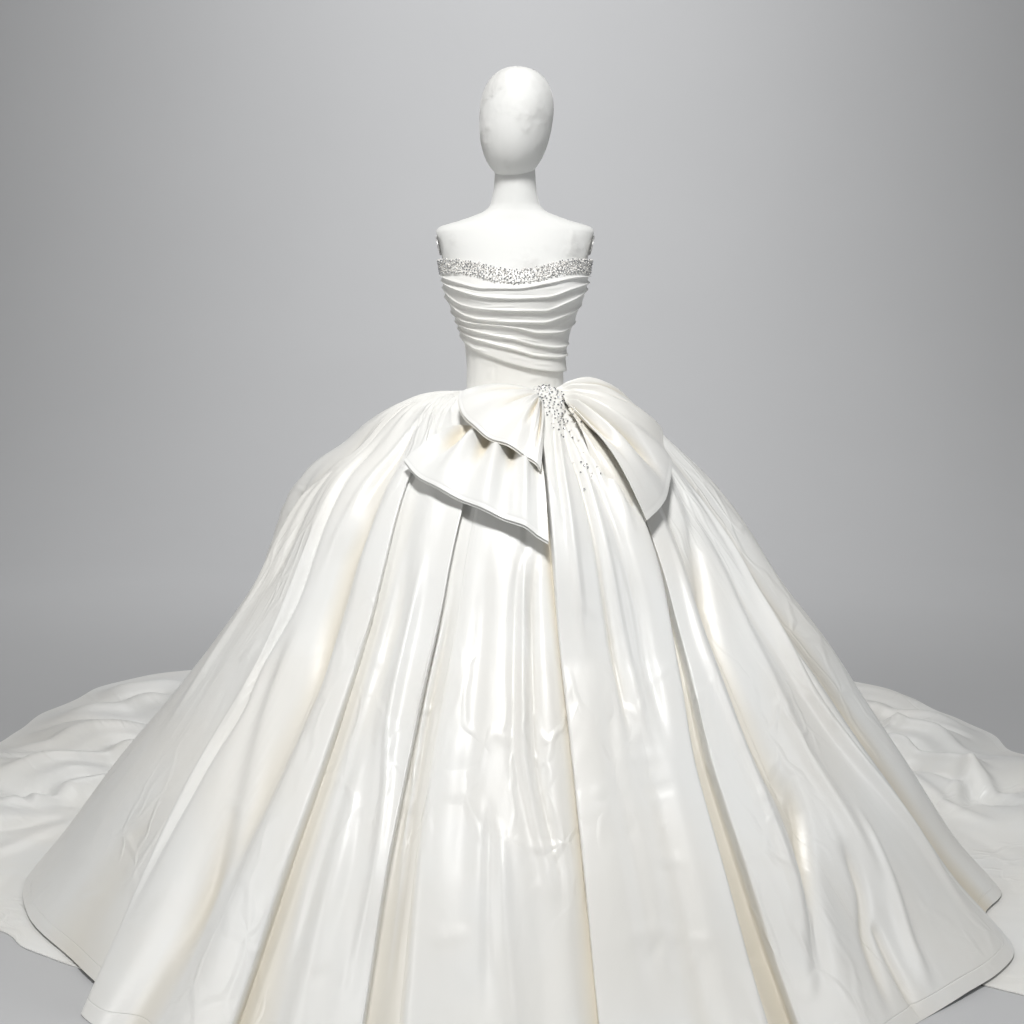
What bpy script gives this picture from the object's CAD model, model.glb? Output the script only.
# %% [markdown]
# A strapless satin ball gown on its dress form.
# The packed model gives every piece its place and size. This lesson gives each one the cloth, the folds
# and the finish of the real gown. Sizes are in millimetres until a mesh is made, because a dressmaker
# thinks in millimetres, and the frame is in metres.

import math

import bpy
import numpy as np
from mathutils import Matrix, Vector
from mathutils.bvhtree import BVHTree


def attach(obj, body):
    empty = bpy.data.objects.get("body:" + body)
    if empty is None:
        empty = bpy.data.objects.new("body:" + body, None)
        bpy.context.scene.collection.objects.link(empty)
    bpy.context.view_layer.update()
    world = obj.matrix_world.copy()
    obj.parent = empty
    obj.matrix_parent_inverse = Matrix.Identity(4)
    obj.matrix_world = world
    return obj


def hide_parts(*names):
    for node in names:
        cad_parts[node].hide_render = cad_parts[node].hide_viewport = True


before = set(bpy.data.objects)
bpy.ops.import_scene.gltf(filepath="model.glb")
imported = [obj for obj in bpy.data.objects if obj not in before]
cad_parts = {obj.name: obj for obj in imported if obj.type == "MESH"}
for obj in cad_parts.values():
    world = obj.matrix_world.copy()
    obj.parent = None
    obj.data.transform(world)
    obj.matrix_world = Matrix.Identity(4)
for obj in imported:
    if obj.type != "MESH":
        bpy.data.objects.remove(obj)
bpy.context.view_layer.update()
MM = 0.001


def add_object(name, data):
    made = bpy.data.objects.new(name, data)
    bpy.context.scene.collection.objects.link(made)
    return made


print("CAD nodes:", len(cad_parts))

# %% [markdown]
# The camera stands where the photographer stood: low, close, and tipped a little downwards. A long lens
# would flatten the dome of the skirt, so the lens is worked out from the picture's own perspective.

# %% Camera
PICTURE_PX = 1024
FOCAL_PX = 1500
SENSOR_MM = 36
CAMERA_PLACE = (-0.0068, -3.38, 1.18)
CAMERA_TIP_DOWN = 5.8

lens = bpy.data.cameras.new("gown_camera")
lens.sensor_width = SENSOR_MM
lens.lens = SENSOR_MM * FOCAL_PX / PICTURE_PX
camera = add_object("gown_camera", lens)
camera.location = CAMERA_PLACE
camera.rotation_euler = (math.radians(90 - CAMERA_TIP_DOWN), 0, 0)
bpy.context.scene.camera = camera
print("lens", round(lens.lens, 1), "mm")

# %% [markdown]
# White satin is lit by what it faces. The main light hangs high over the front, so the hip is brightest,
# the hem is quieter and each ruched fold has a bright upper edge. Two weaker ones rake across the pleats
# from the sides, one behind draws the train, and one lights the backdrop. A grey world fills the shadows.
# The Standard view keeps white cloth white.

# %% Lights and world
LIGHTS = [
    # name, place, aim, size, watts, colour
    ("key", (-0.15, -2.1, 3.8), (0, -0.1, 0.8), 0.7, 104, (1, 0.995, 0.985)),
    ("side_left", (-3.0, -2.2, 2.0), (0, 0, 0.6), 1.0, 24, (1, 0.99, 0.97)),
    ("side_right", (3.2, -1.4, 2.2), (0, 0, 0.6), 1.0, 17, (0.95, 0.975, 1)),
    ("behind", (-0.8, 4.4, 3.9), (0, 1.4, 0.3), 2.0, 20, (1, 1, 1)),
    ("backdrop", (0, 4.2, 5.6), (0, 9.0, 2.0), 3.0, 260, (1, 1, 1)),
]
STUDIO_GREY = (0.80, 0.79, 0.76, 1)
STUDIO_GLOW = 0.14


def soft_light(name, place, aim, size, watts, colour):
    data = bpy.data.lights.new(name, "AREA")
    data.shape = "DISK"
    data.size = size
    data.energy = watts
    data.color = colour
    light = add_object(name, data)
    light.location = place
    away = np.array(place, float) - np.array(aim, float)
    flat = math.hypot(away[0], away[1])
    light.rotation_euler = (math.atan2(flat, away[2]), 0, math.atan2(away[0], -away[1]))


for row in LIGHTS:
    soft_light(*row)

world = bpy.data.worlds.new("studio")
world.use_nodes = True
sky = world.node_tree.nodes["Background"]
sky.inputs["Color"].default_value = STUDIO_GREY
sky.inputs["Strength"].default_value = STUDIO_GLOW
bpy.context.scene.world = world
bpy.context.scene.view_settings.view_transform = "Standard"
print("soft lights:", len(LIGHTS))

# %% [markdown]
# Finishes are written as sums on shader values. The little class below wraps a socket, so that
# `0.3 + 0.1 * noise` builds the Math nodes itself, and `Finish.node` adds any other node: its settings
# first, then its inputs.

# %% Shader values and finishes
class Value:
    """An output socket that can be added, multiplied and compared like a number."""

    def __init__(self, finish, socket):
        self.finish = finish
        self.socket = socket

    def math(self, operation, a, b):
        return self.finish.node("ShaderNodeMath", {"operation": operation}, {0: a, 1: b})

    def __add__(self, other):
        return self.math("ADD", self, other)

    def __radd__(self, other):
        return self.math("ADD", other, self)

    def __sub__(self, other):
        return self.math("SUBTRACT", self, other)

    def __rsub__(self, other):
        return self.math("SUBTRACT", other, self)

    def __mul__(self, other):
        return self.math("MULTIPLY", self, other)

    def __rmul__(self, other):
        return self.math("MULTIPLY", other, self)

    def absolute(self):
        return self.math("ABSOLUTE", self, 0)

    def between(self, low, high):
        """0 below low, 1 above high, smooth between."""
        ramp = {"interpolation_type": "SMOOTHSTEP"}
        values = {"Value": self, "From Min": low, "From Max": high}
        return self.finish.node("ShaderNodeMapRange", ramp, values)


class Finish:
    """A material made of nodes that end in one Principled shader."""

    def __init__(self, name, **constants):
        self.material = bpy.data.materials.new(name)
        self.material.use_nodes = True
        self.tree = self.material.node_tree
        self.shader = self.tree.nodes["Principled BSDF"]
        for socket, value in constants.items():
            self.shader.inputs[socket.replace("_", " ")].default_value = value

    def put(self, socket, value):
        if isinstance(value, Value):
            self.tree.links.new(value.socket, socket)
        else:
            socket.default_value = value

    def node(self, kind, settings=None, inputs=None, output=0):
        made = self.tree.nodes.new(kind)
        for setting, value in (settings or {}).items():
            setattr(made, setting, value)
        for name, value in (inputs or {}).items():
            self.put(made.inputs[name], value)
        return Value(self, made.outputs[output])

    def place(self, source="Object", scale=(1, 1, 1)):
        where = self.node("ShaderNodeTexCoord", output=source)
        return self.node("ShaderNodeMapping", None, {"Vector": where, "Scale": scale})

    def noise(self, vector, scale, detail=3.0, roughness=0.5, distortion=0.0):
        values = {"Vector": vector, "Scale": scale, "Detail": detail, "Roughness": roughness,
                  "Distortion": distortion}
        return self.node("ShaderNodeTexNoise", None, values)

    def blend(self, share, low, high):
        made = self.tree.nodes.new("ShaderNodeMix")
        made.data_type = "RGBA"
        self.put(made.inputs[0], share)
        self.put(made.inputs[6], low)
        self.put(made.inputs[7], high)
        return Value(self, made.outputs[2])

    def bump(self, height, distance, strength=1.0, normal=None):
        values = {"Height": height, "Distance": distance, "Strength": strength}
        if normal is not None:
            values["Normal"] = normal
        return self.node("ShaderNodeBump", None, values)

    def feed(self, **values):
        for socket, value in values.items():
            self.put(self.shader.inputs[socket.replace("_", " ")], value)
        return self.material


print("finish tools:", [name for name in vars(Finish) if not name.startswith("_")])

# %% [markdown]
# Duchess satin has a tight, smooth face: a broad soft gleam, almost no visible thread, faint streaks along
# the warp, and faint creases round small facets where the cloth was handled. Down in the folds the light has
# bounced off cream cloth many times, so the hollows are tinted by a value written on each piece, named
# "hollow". All patterns but the cloudy tone follow the cloth, so they read its UV map, in metres.

# %% Satin
IVORY = (0.875, 0.88, 0.865, 1)
WARM_IVORY = (0.86, 0.85, 0.815, 1)
HOLLOW_CREAM = (0.77, 0.715, 0.60, 1)
THREAD = {"stretch": (1400, 30, 1), "depth": 0.00035, "strength": 0.25, "roughness_swing": 0.12}
WAVER = {"stretch": (1, 0.45, 1), "per_metre": 9.0, "depth": 0.010, "strength": 0.3}
FACETS = {"stretch": (1, 0.55, 1), "per_metre": 13.0, "stray": (0.12, 0.12, 0), "line": 0.16, "depth": 0.004}
HEM_STITCH = {"up": 0.028, "half_width": 0.0022, "depth": 0.0010, "strength": 0.6}


def satin_finish(name, mark_strength=0.35, roughness=0.36, hemmed=False):
    satin = Finish(name, Specular_IOR_Level=0.55, Sheen_Weight=0.12, Sheen_Roughness=0.35)
    on_cloth = satin.place("UV")
    cloudy = satin.noise(satin.place(), 3.0, 3)
    streak = satin.noise(satin.place("UV", THREAD["stretch"]), 1.0, 2)
    waver = satin.noise(satin.place("UV", WAVER["stretch"]), WAVER["per_metre"], 2, 0.5, 0.6)
    bend_values = {"Vector": on_cloth, "Scale": 6.0, "Detail": 2.0}
    bent = satin.node("ShaderNodeTexNoise", None, bend_values, output="Color")
    stray_values = {0: bent, 1: FACETS["stray"], 2: satin.place("UV", FACETS["stretch"])}
    strayed = satin.node("ShaderNodeVectorMath", {"operation": "MULTIPLY_ADD"}, stray_values)
    facet_values = {"Vector": strayed, "Scale": FACETS["per_metre"]}
    facet = satin.node("ShaderNodeTexVoronoi", {"feature": "DISTANCE_TO_EDGE"}, facet_values)
    mark = 1 - facet.between(0, FACETS["line"])
    patch = satin.noise(on_cloth, 2.6, 1).between(0.44, 0.68)
    swell = satin.bump(waver, WAVER["depth"], WAVER["strength"])
    marked = satin.bump(mark * patch, FACETS["depth"], mark_strength, swell)
    if hemmed:
        up = satin.node("ShaderNodeSeparateXYZ", None, {0: on_cloth}, output="Y")
        off_line = (up - HEM_STITCH["up"]).absolute().between(0, HEM_STITCH["half_width"])
        marked = satin.bump(off_line, HEM_STITCH["depth"], HEM_STITCH["strength"], marked)
    thread = satin.bump(streak, THREAD["depth"], THREAD["strength"], marked)
    hollow = satin.node("ShaderNodeAttribute", {"attribute_name": "hollow"}, output="Fac")
    face = satin.blend(cloudy.between(0.35, 0.7), IVORY, WARM_IVORY)
    colour = satin.blend(hollow, face, HOLLOW_CREAM)
    uneven = roughness + THREAD["roughness_swing"] * (streak - 0.5)
    return satin.feed(Base_Color=colour, Roughness=uneven, Normal=thread)


SATIN = satin_finish("duchess_satin", hemmed=True)
BOW_SATIN = satin_finish("bow_satin", 0.2)
BODICE_SATIN = satin_finish("bodice_satin", 0.1, 0.38)
print("satins:", SATIN.name, BOW_SATIN.name, BODICE_SATIN.name)

# %% [markdown]
# The form is padded and covered with matte white stretch cloth, its plates are brushed metal, and the
# stand has a white powder coat with its fine orange-peel surface.

# %% Form, plate, stand and floor finishes
def form_cloth_finish():
    cloth = Finish("stretch_cloth", Roughness=0.82, Sheen_Weight=0.25)
    where = cloth.place()
    knit = cloth.noise(where, 900, 2)
    patch = cloth.noise(where, 26, 4, 0.6, 0.4)
    scuff = cloth.noise(where, 9, 3).between(0.52, 0.7)
    pucker = cloth.bump(patch * scuff, 0.006, 0.8)
    surface = cloth.bump(knit, 0.0006, 0.3, pucker)
    colour = cloth.blend(scuff, (0.78, 0.785, 0.77, 1), (0.70, 0.70, 0.685, 1))
    return cloth.feed(Base_Color=colour, Normal=surface)


def plate_finish():
    plate = Finish("brushed_plate", Metallic=0.7)
    brushed = plate.noise(plate.place("Object", (60, 60, 900)), 1, 2)
    return plate.feed(
        Base_Color=plate.blend(brushed, (0.5, 0.5, 0.5, 1), (0.68, 0.68, 0.67, 1)),
        Roughness=0.3 + 0.2 * brushed,
    )


def stand_finish():
    coat = Finish("powder_coat")
    peel = coat.noise(coat.place(), 420, 2)
    return coat.feed(
        Base_Color=coat.blend(peel, (0.76, 0.76, 0.75, 1), (0.82, 0.82, 0.81, 1)),
        Roughness=0.45 + 0.1 * peel,
        Normal=coat.bump(peel, 0.0004, 0.4),
    )


def floor_finish():
    floor = Finish("studio_floor", Roughness=0.8, Specular_IOR_Level=0.2)
    patch = floor.noise(floor.place(), 0.8, 4)
    return floor.feed(Base_Color=floor.blend(patch, (0.52, 0.525, 0.535, 1), (0.55, 0.555, 0.565, 1)))


FORM_CLOTH = form_cloth_finish()
PLATE = plate_finish()
POWDER_COAT = stand_finish()
STUDIO_FLOOR = floor_finish()
print("form, plate, stand and floor finishes ready")

# %% [markdown]
# A mesh is made from arrays of points, because the gown has a great many. A cloth wall is a grid of outer
# points and a grid of inner ones, joined round the rim, with its sharp edges only at that rim. Solid
# things, such as the form and the bow's knot, are rings of points stacked and closed at both ends.

# %% Meshes from grids
def link_mesh(name, points, faces, finish, uv=None, sharp=None):
    mesh = bpy.data.meshes.new(name)
    mesh.vertices.add(len(points))
    mesh.vertices.foreach_set("co", (np.asarray(points, float) * MM).ravel())
    faces = np.asarray(faces, np.int32)
    mesh.loops.add(faces.size)
    mesh.loops.foreach_set("vertex_index", faces.ravel())
    mesh.polygons.add(len(faces))
    mesh.polygons.foreach_set("loop_start", np.arange(0, faces.size, faces.shape[1], dtype=np.int32))
    mesh.update(calc_edges=True)
    mesh.shade_smooth()
    if uv is not None:
        layer = mesh.uv_layers.new(name="cloth")
        layer.uv.foreach_set("vector", np.asarray(uv, float)[faces.ravel()].ravel())
    if sharp is not None:
        ends = np.zeros(len(mesh.edges) * 2, np.int32)
        mesh.edges.foreach_get("vertices", ends)
        ends = ends.reshape(-1, 2)
        marks = mesh.attributes.new("sharp_edge", "BOOLEAN", "EDGE")
        marks.data.foreach_set("value", (sharp[ends[:, 0]] & sharp[ends[:, 1]]).tolist())
    mesh.materials.append(finish)
    return add_object(name, mesh)


def write_values(piece, label, values):
    """Writes one number on each point, for a finish or for Geometry Nodes to read."""
    layer = piece.data.attributes.new(label, "FLOAT", "POINT")
    layer.data.foreach_set("value", np.asarray(values, np.float32).ravel())


def tint_hollows(piece, values):
    """How deep in a fold each point lies, 0 to 1. A cloth wall has each value twice."""
    write_values(piece, "hollow", [values] * 2)


def grid_quads(rows, columns, start=0):
    r, c = np.meshgrid(np.arange(rows - 1), np.arange(columns - 1), indexing="ij")
    a = (start + r * columns + c).ravel()
    return np.stack([a, a + 1, a + columns + 1, a + columns], axis=1)


def unit_normals(grid, closed=False):
    """Outward normals of a grid whose rows run up and whose columns run to the wearer's left."""
    padded = np.concatenate([grid[:, -2:-1], grid, grid[:, 1:2]], axis=1) if closed else np.pad(
        grid, ((0, 0), (1, 1), (0, 0)), mode="edge")
    along = padded[:, 2:] - padded[:, :-2]
    tall = np.pad(grid, ((1, 1), (0, 0), (0, 0)), mode="edge")
    up = tall[2:] - tall[:-2]
    normal = np.cross(along, up)
    size = np.linalg.norm(normal, axis=2, keepdims=True)
    return normal / np.maximum(size, 1e-9)


def cloth_wall(name, outer, inner, finish, uv):
    """A closed wall between two grids of the same size, in millimetres. uv is in metres on the cloth."""
    rows, columns = outer.shape[:2]
    count = rows * columns
    front = grid_quads(rows, columns)
    back = grid_quads(rows, columns, count)[:, ::-1]
    bottom = np.arange(columns - 1)
    top = (rows - 1) * columns + bottom
    first = np.arange(rows - 1) * columns
    last = first + columns - 1
    rim = np.concatenate([
        np.stack([bottom, bottom + count, bottom + count + 1, bottom + 1], axis=1),
        np.stack([top, top + 1, top + count + 1, top + count], axis=1),
        np.stack([first, first + columns, first + columns + count, first + count], axis=1),
        np.stack([last, last + count, last + columns + count, last + columns], axis=1),
    ])
    border = np.zeros((rows, columns), bool)
    border[0] = border[-1] = True
    border[:, 0] = border[:, -1] = True
    return link_mesh(
        name,
        np.concatenate([outer.reshape(-1, 3), inner.reshape(-1, 3)]),
        np.concatenate([front, back, rim]),
        finish,
        np.concatenate([uv.reshape(-1, 2)] * 2),
        np.concatenate([border.ravel()] * 2),
    )


def shell(name, outer, finish, thickness, uv=None):
    """A wall whose inner side lies one thickness under the outer one."""
    if uv is None:
        uv = flat_uv(outer)
    return cloth_wall(name, outer, outer - thickness * unit_normals(outer), finish, uv)


def flat_uv(grid):
    """Metres across and along the cloth, measured on the grid's middle row and column."""
    across = np.linalg.norm(np.diff(grid[grid.shape[0] // 2], axis=0), axis=1)
    along = np.linalg.norm(np.diff(grid[:, grid.shape[1] // 2], axis=0), axis=1)
    u = np.concatenate([[0], np.cumsum(across)]) * MM
    v = np.concatenate([[0], np.cumsum(along)]) * MM
    return np.stack(np.broadcast_arrays(u[None, :], v[:, None]), axis=2)


def ring_stack(name, rings, finish, flat_map=False):
    """Rings of points stacked upwards, closed at both ends."""
    rows, columns = rings.shape[:2]
    count = rows * columns
    quads = grid_quads(rows, columns + 1)
    row, column = quads // (columns + 1), quads % (columns + 1)
    quads = row * columns + column % columns
    top = count - columns
    caps = []
    for c in range(0, columns, 2):
        one, two = (c + 1) % columns, (c + 2) % columns
        caps.append((count, two, one, c))
        caps.append((count + 1, top + c, top + one, top + two))
    points = np.concatenate([rings.reshape(-1, 3), rings[:1].mean(axis=1), rings[-1:].mean(axis=1)])
    uv = np.zeros((len(points), 2)) if flat_map else None
    return link_mesh(name, points, np.concatenate([quads, caps]), finish, uv)


def cloth_area(piece):
    """Half the surface of a closed wall, in square metres."""
    return sum(face.area for face in piece.data.polygons) / 2


print("mesh tools ready")

# %% [markdown]
# Three small rules shape everything that follows: a smooth step, a smooth curve through values at given
# stops, and a blur that rounds the corners of a row of folds.

# %% Curves
def smoothstep(low, high, x):
    t = np.clip((np.asarray(x, float) - low) / (high - low), 0, 1)
    return t * t * (3 - 2 * t)


def lerp(a, b, t):
    return a + (b - a) * t


def through(stops, values, x):
    """A smooth curve through values at rising stops, flat past both ends. Values may be rows of numbers."""
    s = np.asarray(stops, float)
    v = np.asarray(values, float)
    x = np.asarray(x, float)
    gap = np.diff(s).reshape((-1,) + (1,) * (v.ndim - 1))
    rise = np.diff(v, axis=0) / gap
    slope = np.zeros_like(v)
    slope[0] = rise[0]
    slope[-1] = rise[-1]
    product = rise[:-1] * rise[1:]
    total = rise[:-1] + rise[1:]
    same_way = product > 0
    slope[1:-1] = np.where(same_way, 2 * product / np.where(same_way, total, 1), 0)
    i = np.clip(np.searchsorted(s, x, side="left") - 1, 0, len(s) - 2)
    t = np.clip((x - s[i]) / (s[i + 1] - s[i]), 0, 1)
    h = s[i + 1] - s[i]
    extra = (1,) * (v.ndim - 1)
    t = t.reshape(t.shape + extra)
    h = h.reshape(h.shape + extra)
    return ((2 * t**3 - 3 * t**2 + 1) * v[i] + (t**3 - 2 * t**2 + t) * h * slope[i]
            + (3 * t**2 - 2 * t**3) * v[i + 1] + (t**3 - t**2) * h * slope[i + 1])


def blurred(table, sigma):
    """Rounds a table along its last axis with a bell of that many samples."""
    reach = max(1, int(3 * sigma))
    bell = np.exp(-0.5 * (np.arange(-reach, reach + 1) / sigma) ** 2)
    bell /= bell.sum()
    padded = np.pad(table, ((0, 0), (reach, reach)), mode="edge")
    return sum(weight * padded[:, k:k + table.shape[1]] for k, weight in enumerate(bell))


print("curves ready")

# %% [markdown]
# The form's torso is a stack of soft ovals: half a width, and a depth in front of the pole and behind it.
# Cloth that lies on the torso is worked out from the same sections, moved out.

# %% Torso sections
TORSO = np.array([
    # height, half width, depth in front, depth behind
    (840, 138, 100, 104), (868, 158, 114, 120), (930, 168, 120, 130), (1000, 150, 106, 118),
    (1060, 122, 92, 98), (1110, 107, 85, 84), (1135, 104, 85, 82), (1160, 103, 86, 81),
    (1200, 106, 91, 83), (1230, 111, 99, 87), (1265, 122, 112, 93), (1300, 136, 124, 99),
    (1325, 146, 127, 102), (1350, 152, 122, 104), (1380, 157, 110, 105), (1405, 162, 98, 105),
    (1435, 170, 84, 103), (1462, 177, 70, 97), (1473, 168, 64, 92), (1484, 132, 59, 84),
    (1496, 96, 55, 75), (1508, 68, 51, 66), (1522, 55, 49, 58), (1560, 47, 48, 50), (1625, 43, 50, 42),
])
CLOTH = 2
SEAM = 0.3
WAIST_Z = 1110


def torso_size(column, z):
    return through(TORSO[:, 0], TORSO[:, column], z)


def torso_point(degrees, z, out):
    angle = np.radians(degrees)
    depth = np.where(np.cos(angle) > 0, torso_size(2, z), torso_size(3, z))
    x = (torso_size(1, z) + out) * np.sin(angle)
    y = -(depth + out) * np.cos(angle)
    return np.stack(np.broadcast_arrays(x, y, z), axis=-1)


print("torso sections from", TORSO[0, 0], "to", TORSO[-1, 0])

# %% [markdown]
# The skirt hangs from the waist seam over a wide petticoat, so its meridian is a dome that turns into a
# long slope. It fell a little wider on one side, so each side has its own radius.

# %% Skirt meridian
MERIDIAN = np.array([
    # height, radius on the left, radius on the right
    (WAIST_Z, 109, 109), (1103, 190, 150), (1080, 258, 230), (1040, 323, 298), (990, 376, 354),
    (930, 446, 411), (860, 493, 467), (780, 531, 526), (680, 580, 592), (560, 658, 680),
    (420, 766, 767), (280, 884, 858), (140, 991, 949), (0, 1098, 1061),
])
outward_steps = np.diff(MERIDIAN[:, 1:].mean(axis=1))
DOWN = np.concatenate([[0], np.cumsum(np.hypot(outward_steps, np.diff(MERIDIAN[:, 0])))])
HEM = DOWN[-1]
HEM_LIFT = 8
UPRIGHT_BELOW = (1100, 1400)
SIDE_LIFT = {"azimuths": (42, 52), "start": 1350}
OVAL_DOWN_TO = 120
FLARE = {"from": 110, "to": 128, "radius": 60, "floor": CLOTH + 0.5, "start": 1180}
BACK = {"pleats": 5, "from": 110, "to": 180, "hip": 16, "hem": 30, "room": 1.25}


def flare_share(degrees):
    return smoothstep(FLARE["from"], FLARE["to"], np.abs(degrees))


def skirt_radius(degrees, down):
    right_share = (1 + np.sin(np.radians(degrees))) / 2
    return lerp(through(DOWN, MERIDIAN[:, 1], down), through(DOWN, MERIDIAN[:, 2], down), right_share)


def skirt_height(down):
    return through(DOWN, MERIDIAN[:, 0], down)


def skirt_point(degrees, down, relief):
    """A point at an azimuth, a distance down the cloth from the waist, and a relief off the smooth form."""
    probe = 20
    below = np.minimum(down + probe, HEM)
    above = np.maximum(down - probe, 0)
    outward = skirt_radius(degrees, below) - skirt_radius(degrees, above)
    fall = skirt_height(above) - skirt_height(below)
    tilt = np.arctan2(outward, fall) * (1 - smoothstep(*UPRIGHT_BELOW, down))
    flare = flare_share(degrees) * smoothstep(FLARE["start"], HEM, down)
    at_side = smoothstep(*SIDE_LIFT["azimuths"], np.abs(degrees))
    side = HEM_LIFT * at_side * smoothstep(SIDE_LIFT["start"], HEM, down)
    waist = 1 - smoothstep(0, OVAL_DOWN_TO, down)
    oval = torso_size(2, WAIST_Z) / torso_size(1, WAIST_Z)
    radius = skirt_radius(degrees, down) + relief * np.cos(tilt) + flare * FLARE["radius"]
    settled = FLARE["floor"] + (relief + BACK["hem"] * BACK["room"]) * flare
    height = skirt_height(down) + relief * np.sin(tilt) + side
    angle = np.radians(degrees)
    x = radius * np.sin(angle)
    y = -radius * lerp(1, oval, waist) * np.cos(angle)
    z = lerp(height, np.maximum(settled, height * (1 - flare)), flare)
    return np.stack(np.broadcast_arrays(x, y, z), axis=-1)


print("cloth from waist to hem:", round(HEM), "mm")

# %% [markdown]
# The pleats are drawn as lines from the waist to the hem, each with its azimuth at four levels and how far
# it stands out. Where a pleat laps its neighbour, the high line stands past the low one, so the cloth
# really folds back under itself and the shadow in it is true.

# %% Pleat lines
LEVELS = np.array([0, 300, 570, 1000, HEM])
FRONT_LINES = [
    # high hip, hip, knee, hem, relief at hip, relief at hem
    (-110, -110, -110, -110, 0, 0),
    (-88, -97, -105, -105, 22, 20),
    (-68, -85, -98, -98, -14, -24),
    (-63, -74, -87, -88, 10, 16),
    (-60, -66, -73, -74, 18, -20),
    (-57.5, -58, -59, -57, 8, -73),
    (-54.2, -51, -50.2, -45.2, -16, -58),
    (-55.2, -52.2, -50.8, -45.9, 14, 7),
    (-49, -47, -45.5, -42.6, 16, 15),
    (-41, -38.5, -36.2, -39, -8, -14),
    (-35, -33, -31.5, -31, 16, 30),
    (-30.2, -28.2, -27.4, -26.8, 12, 22),
    (-30.8, -29, -28, -27.4, -5, -24),
    (-27, -25.5, -24.5, -23.2, -6, -6),
    (-21, -20.8, -20.8, -20, 12, 26),
    (-16.5, -17.4, -17.8, -17.2, 8, 12),
    (-11.8, -13.6, -14.8, -13.9, 12, 24),
    (-12.4, -14.3, -15.4, -14.4, -8, -28),
    (-9.4, -10.9, -12.3, -10.8, -8, -28),
    (-8.8, -10.2, -11.7, -10, -4, -8),
    (-4, -4.6, -5.2, -4.6, 0, -2),
    (0.8, 1, 0.6, 0.4, -1, -4),
    (2.6, 2.9, 3.2, 3, -7, -10),
    (4.4, 4.8, 5.1, 4.4, -1, -6),
    (6.2, 6.4, 6.5, 5.4, -4, -8),
    (8.2, 7.9, 8.2, 8, -16, -28),
    (7.8, 7.4, 7.7, 7.6, 12, 22),
    (11.5, 11.8, 12.6, 12.4, 14, 26),
    (17, 18.8, 18.6, 18, 4, 6),
    (23.5, 24.8, 21.8, 20.8, 14, 26),
    (29.8, 30, 25.3, 24.1, 12, 24),
    (29, 29.2, 24.6, 23.5, -16, -30),
    (33.8, 32.6, 28.4, 27.8, -16, -30),
    (33.2, 31.9, 27.9, 27.2, 12, 22),
    (38.5, 36.4, 33.2, 34, 14, 28),
    (45, 40.6, 38.4, 42.5, -8, 10),
    (49, 47, 47, 50, 8, 22),
    (52.5, 51.6, 53, 57, 2, 42),
    (56, 55, 57.6, 62, 14, 50),
    (60.5, 60, 63, 66.5, -2, 32),
    (66, 65.5, 70.5, 73.5, -14, -22),
    (75, 75, 80, 82, 16, 30),
    (86.5, 87, 91, 92, -12, -26),
    (98, 99, 102, 102, 12, 26),
    (110, 110, 110, 110, 0, 0),
]


def back_lines():
    """Lapped pleats that face away from the centre back, each a little different."""
    lines = []
    pitch = (BACK["to"] - BACK["from"]) / BACK["pleats"]
    for k in range(BACK["pleats"]):
        start = BACK["from"] + k * pitch
        drift = 1.2 * math.sin(2.4 * k + 0.7)
        depth = 1 + 0.22 * math.sin(1.7 * k + 2)
        # place in the pleat above the hem and at it, then the height at hip and hem
        for at, at_hem, hip, hem in (
            (0.2, 0.14, -BACK["hip"], -BACK["hem"]),
            (0.16, 0.26, 0.8 * BACK["hip"], 0.8 * BACK["hem"]),
            (0.5, 0.5, BACK["hip"], BACK["hem"]),
            (0.86, 0.86, -0.2 * BACK["hip"], -0.2 * BACK["hem"]),
        ):
            degrees = start + at * pitch
            opened = start + at_hem * pitch + drift
            lines.append((degrees, degrees + drift / 2, degrees + drift, opened, hip * depth, hem * depth))
    lines.append((180, 180, 180, 180, 0, 0))
    return lines


right_back = back_lines()
left_back = [(-a, -b, -c, -d, hip, hem) for a, b, c, d, hip, hem in reversed(right_back)]
PLEATS = np.array(left_back + FRONT_LINES + right_back, float)
FIRST_FRONT = len(left_back)
LAST_FRONT = FIRST_FRONT + len(FRONT_LINES) - 1
LAST_LINE = len(PLEATS) - 1
waist_azimuths = np.interp(
    np.arange(LAST_LINE + 1), [0, FIRST_FRONT, LAST_FRONT, LAST_LINE], [-180, -110, 110, 180])
LINE_AZIMUTHS = np.stack([waist_azimuths, *PLEATS[:, :4].T])
hip, hem = PLEATS[:, 4], PLEATS[:, 5]
LINE_RELIEFS = np.stack([0 * hip, 0.12 * hip, hip, hem])
GATHER_LINES = [26, 27, 28, 29, 30]
GATHER_RISES = [40, 38, 34, 30, 26]
GATHER_DOWNS = [0, 60, 138, 216, 470, 760]
GATHER_SHARES = [0, 0.2, 0.7, 1, 1, 0]
LINE_RISES = np.zeros(len(PLEATS))
LINE_RISES[[FIRST_FRONT + k for k in GATHER_LINES]] = GATHER_RISES
print("pleat lines:", len(PLEATS))

# %% [markdown]
# Between the lines the cloth is a smooth curve, sampled about every 7 mm where the camera sees it and
# every 15 mm behind. The same samples are used on every row, so a fold stays one fold all the way down.
# Blurring them by a sample or two rounds a folded edge the way heavy satin rounds it.

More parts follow.
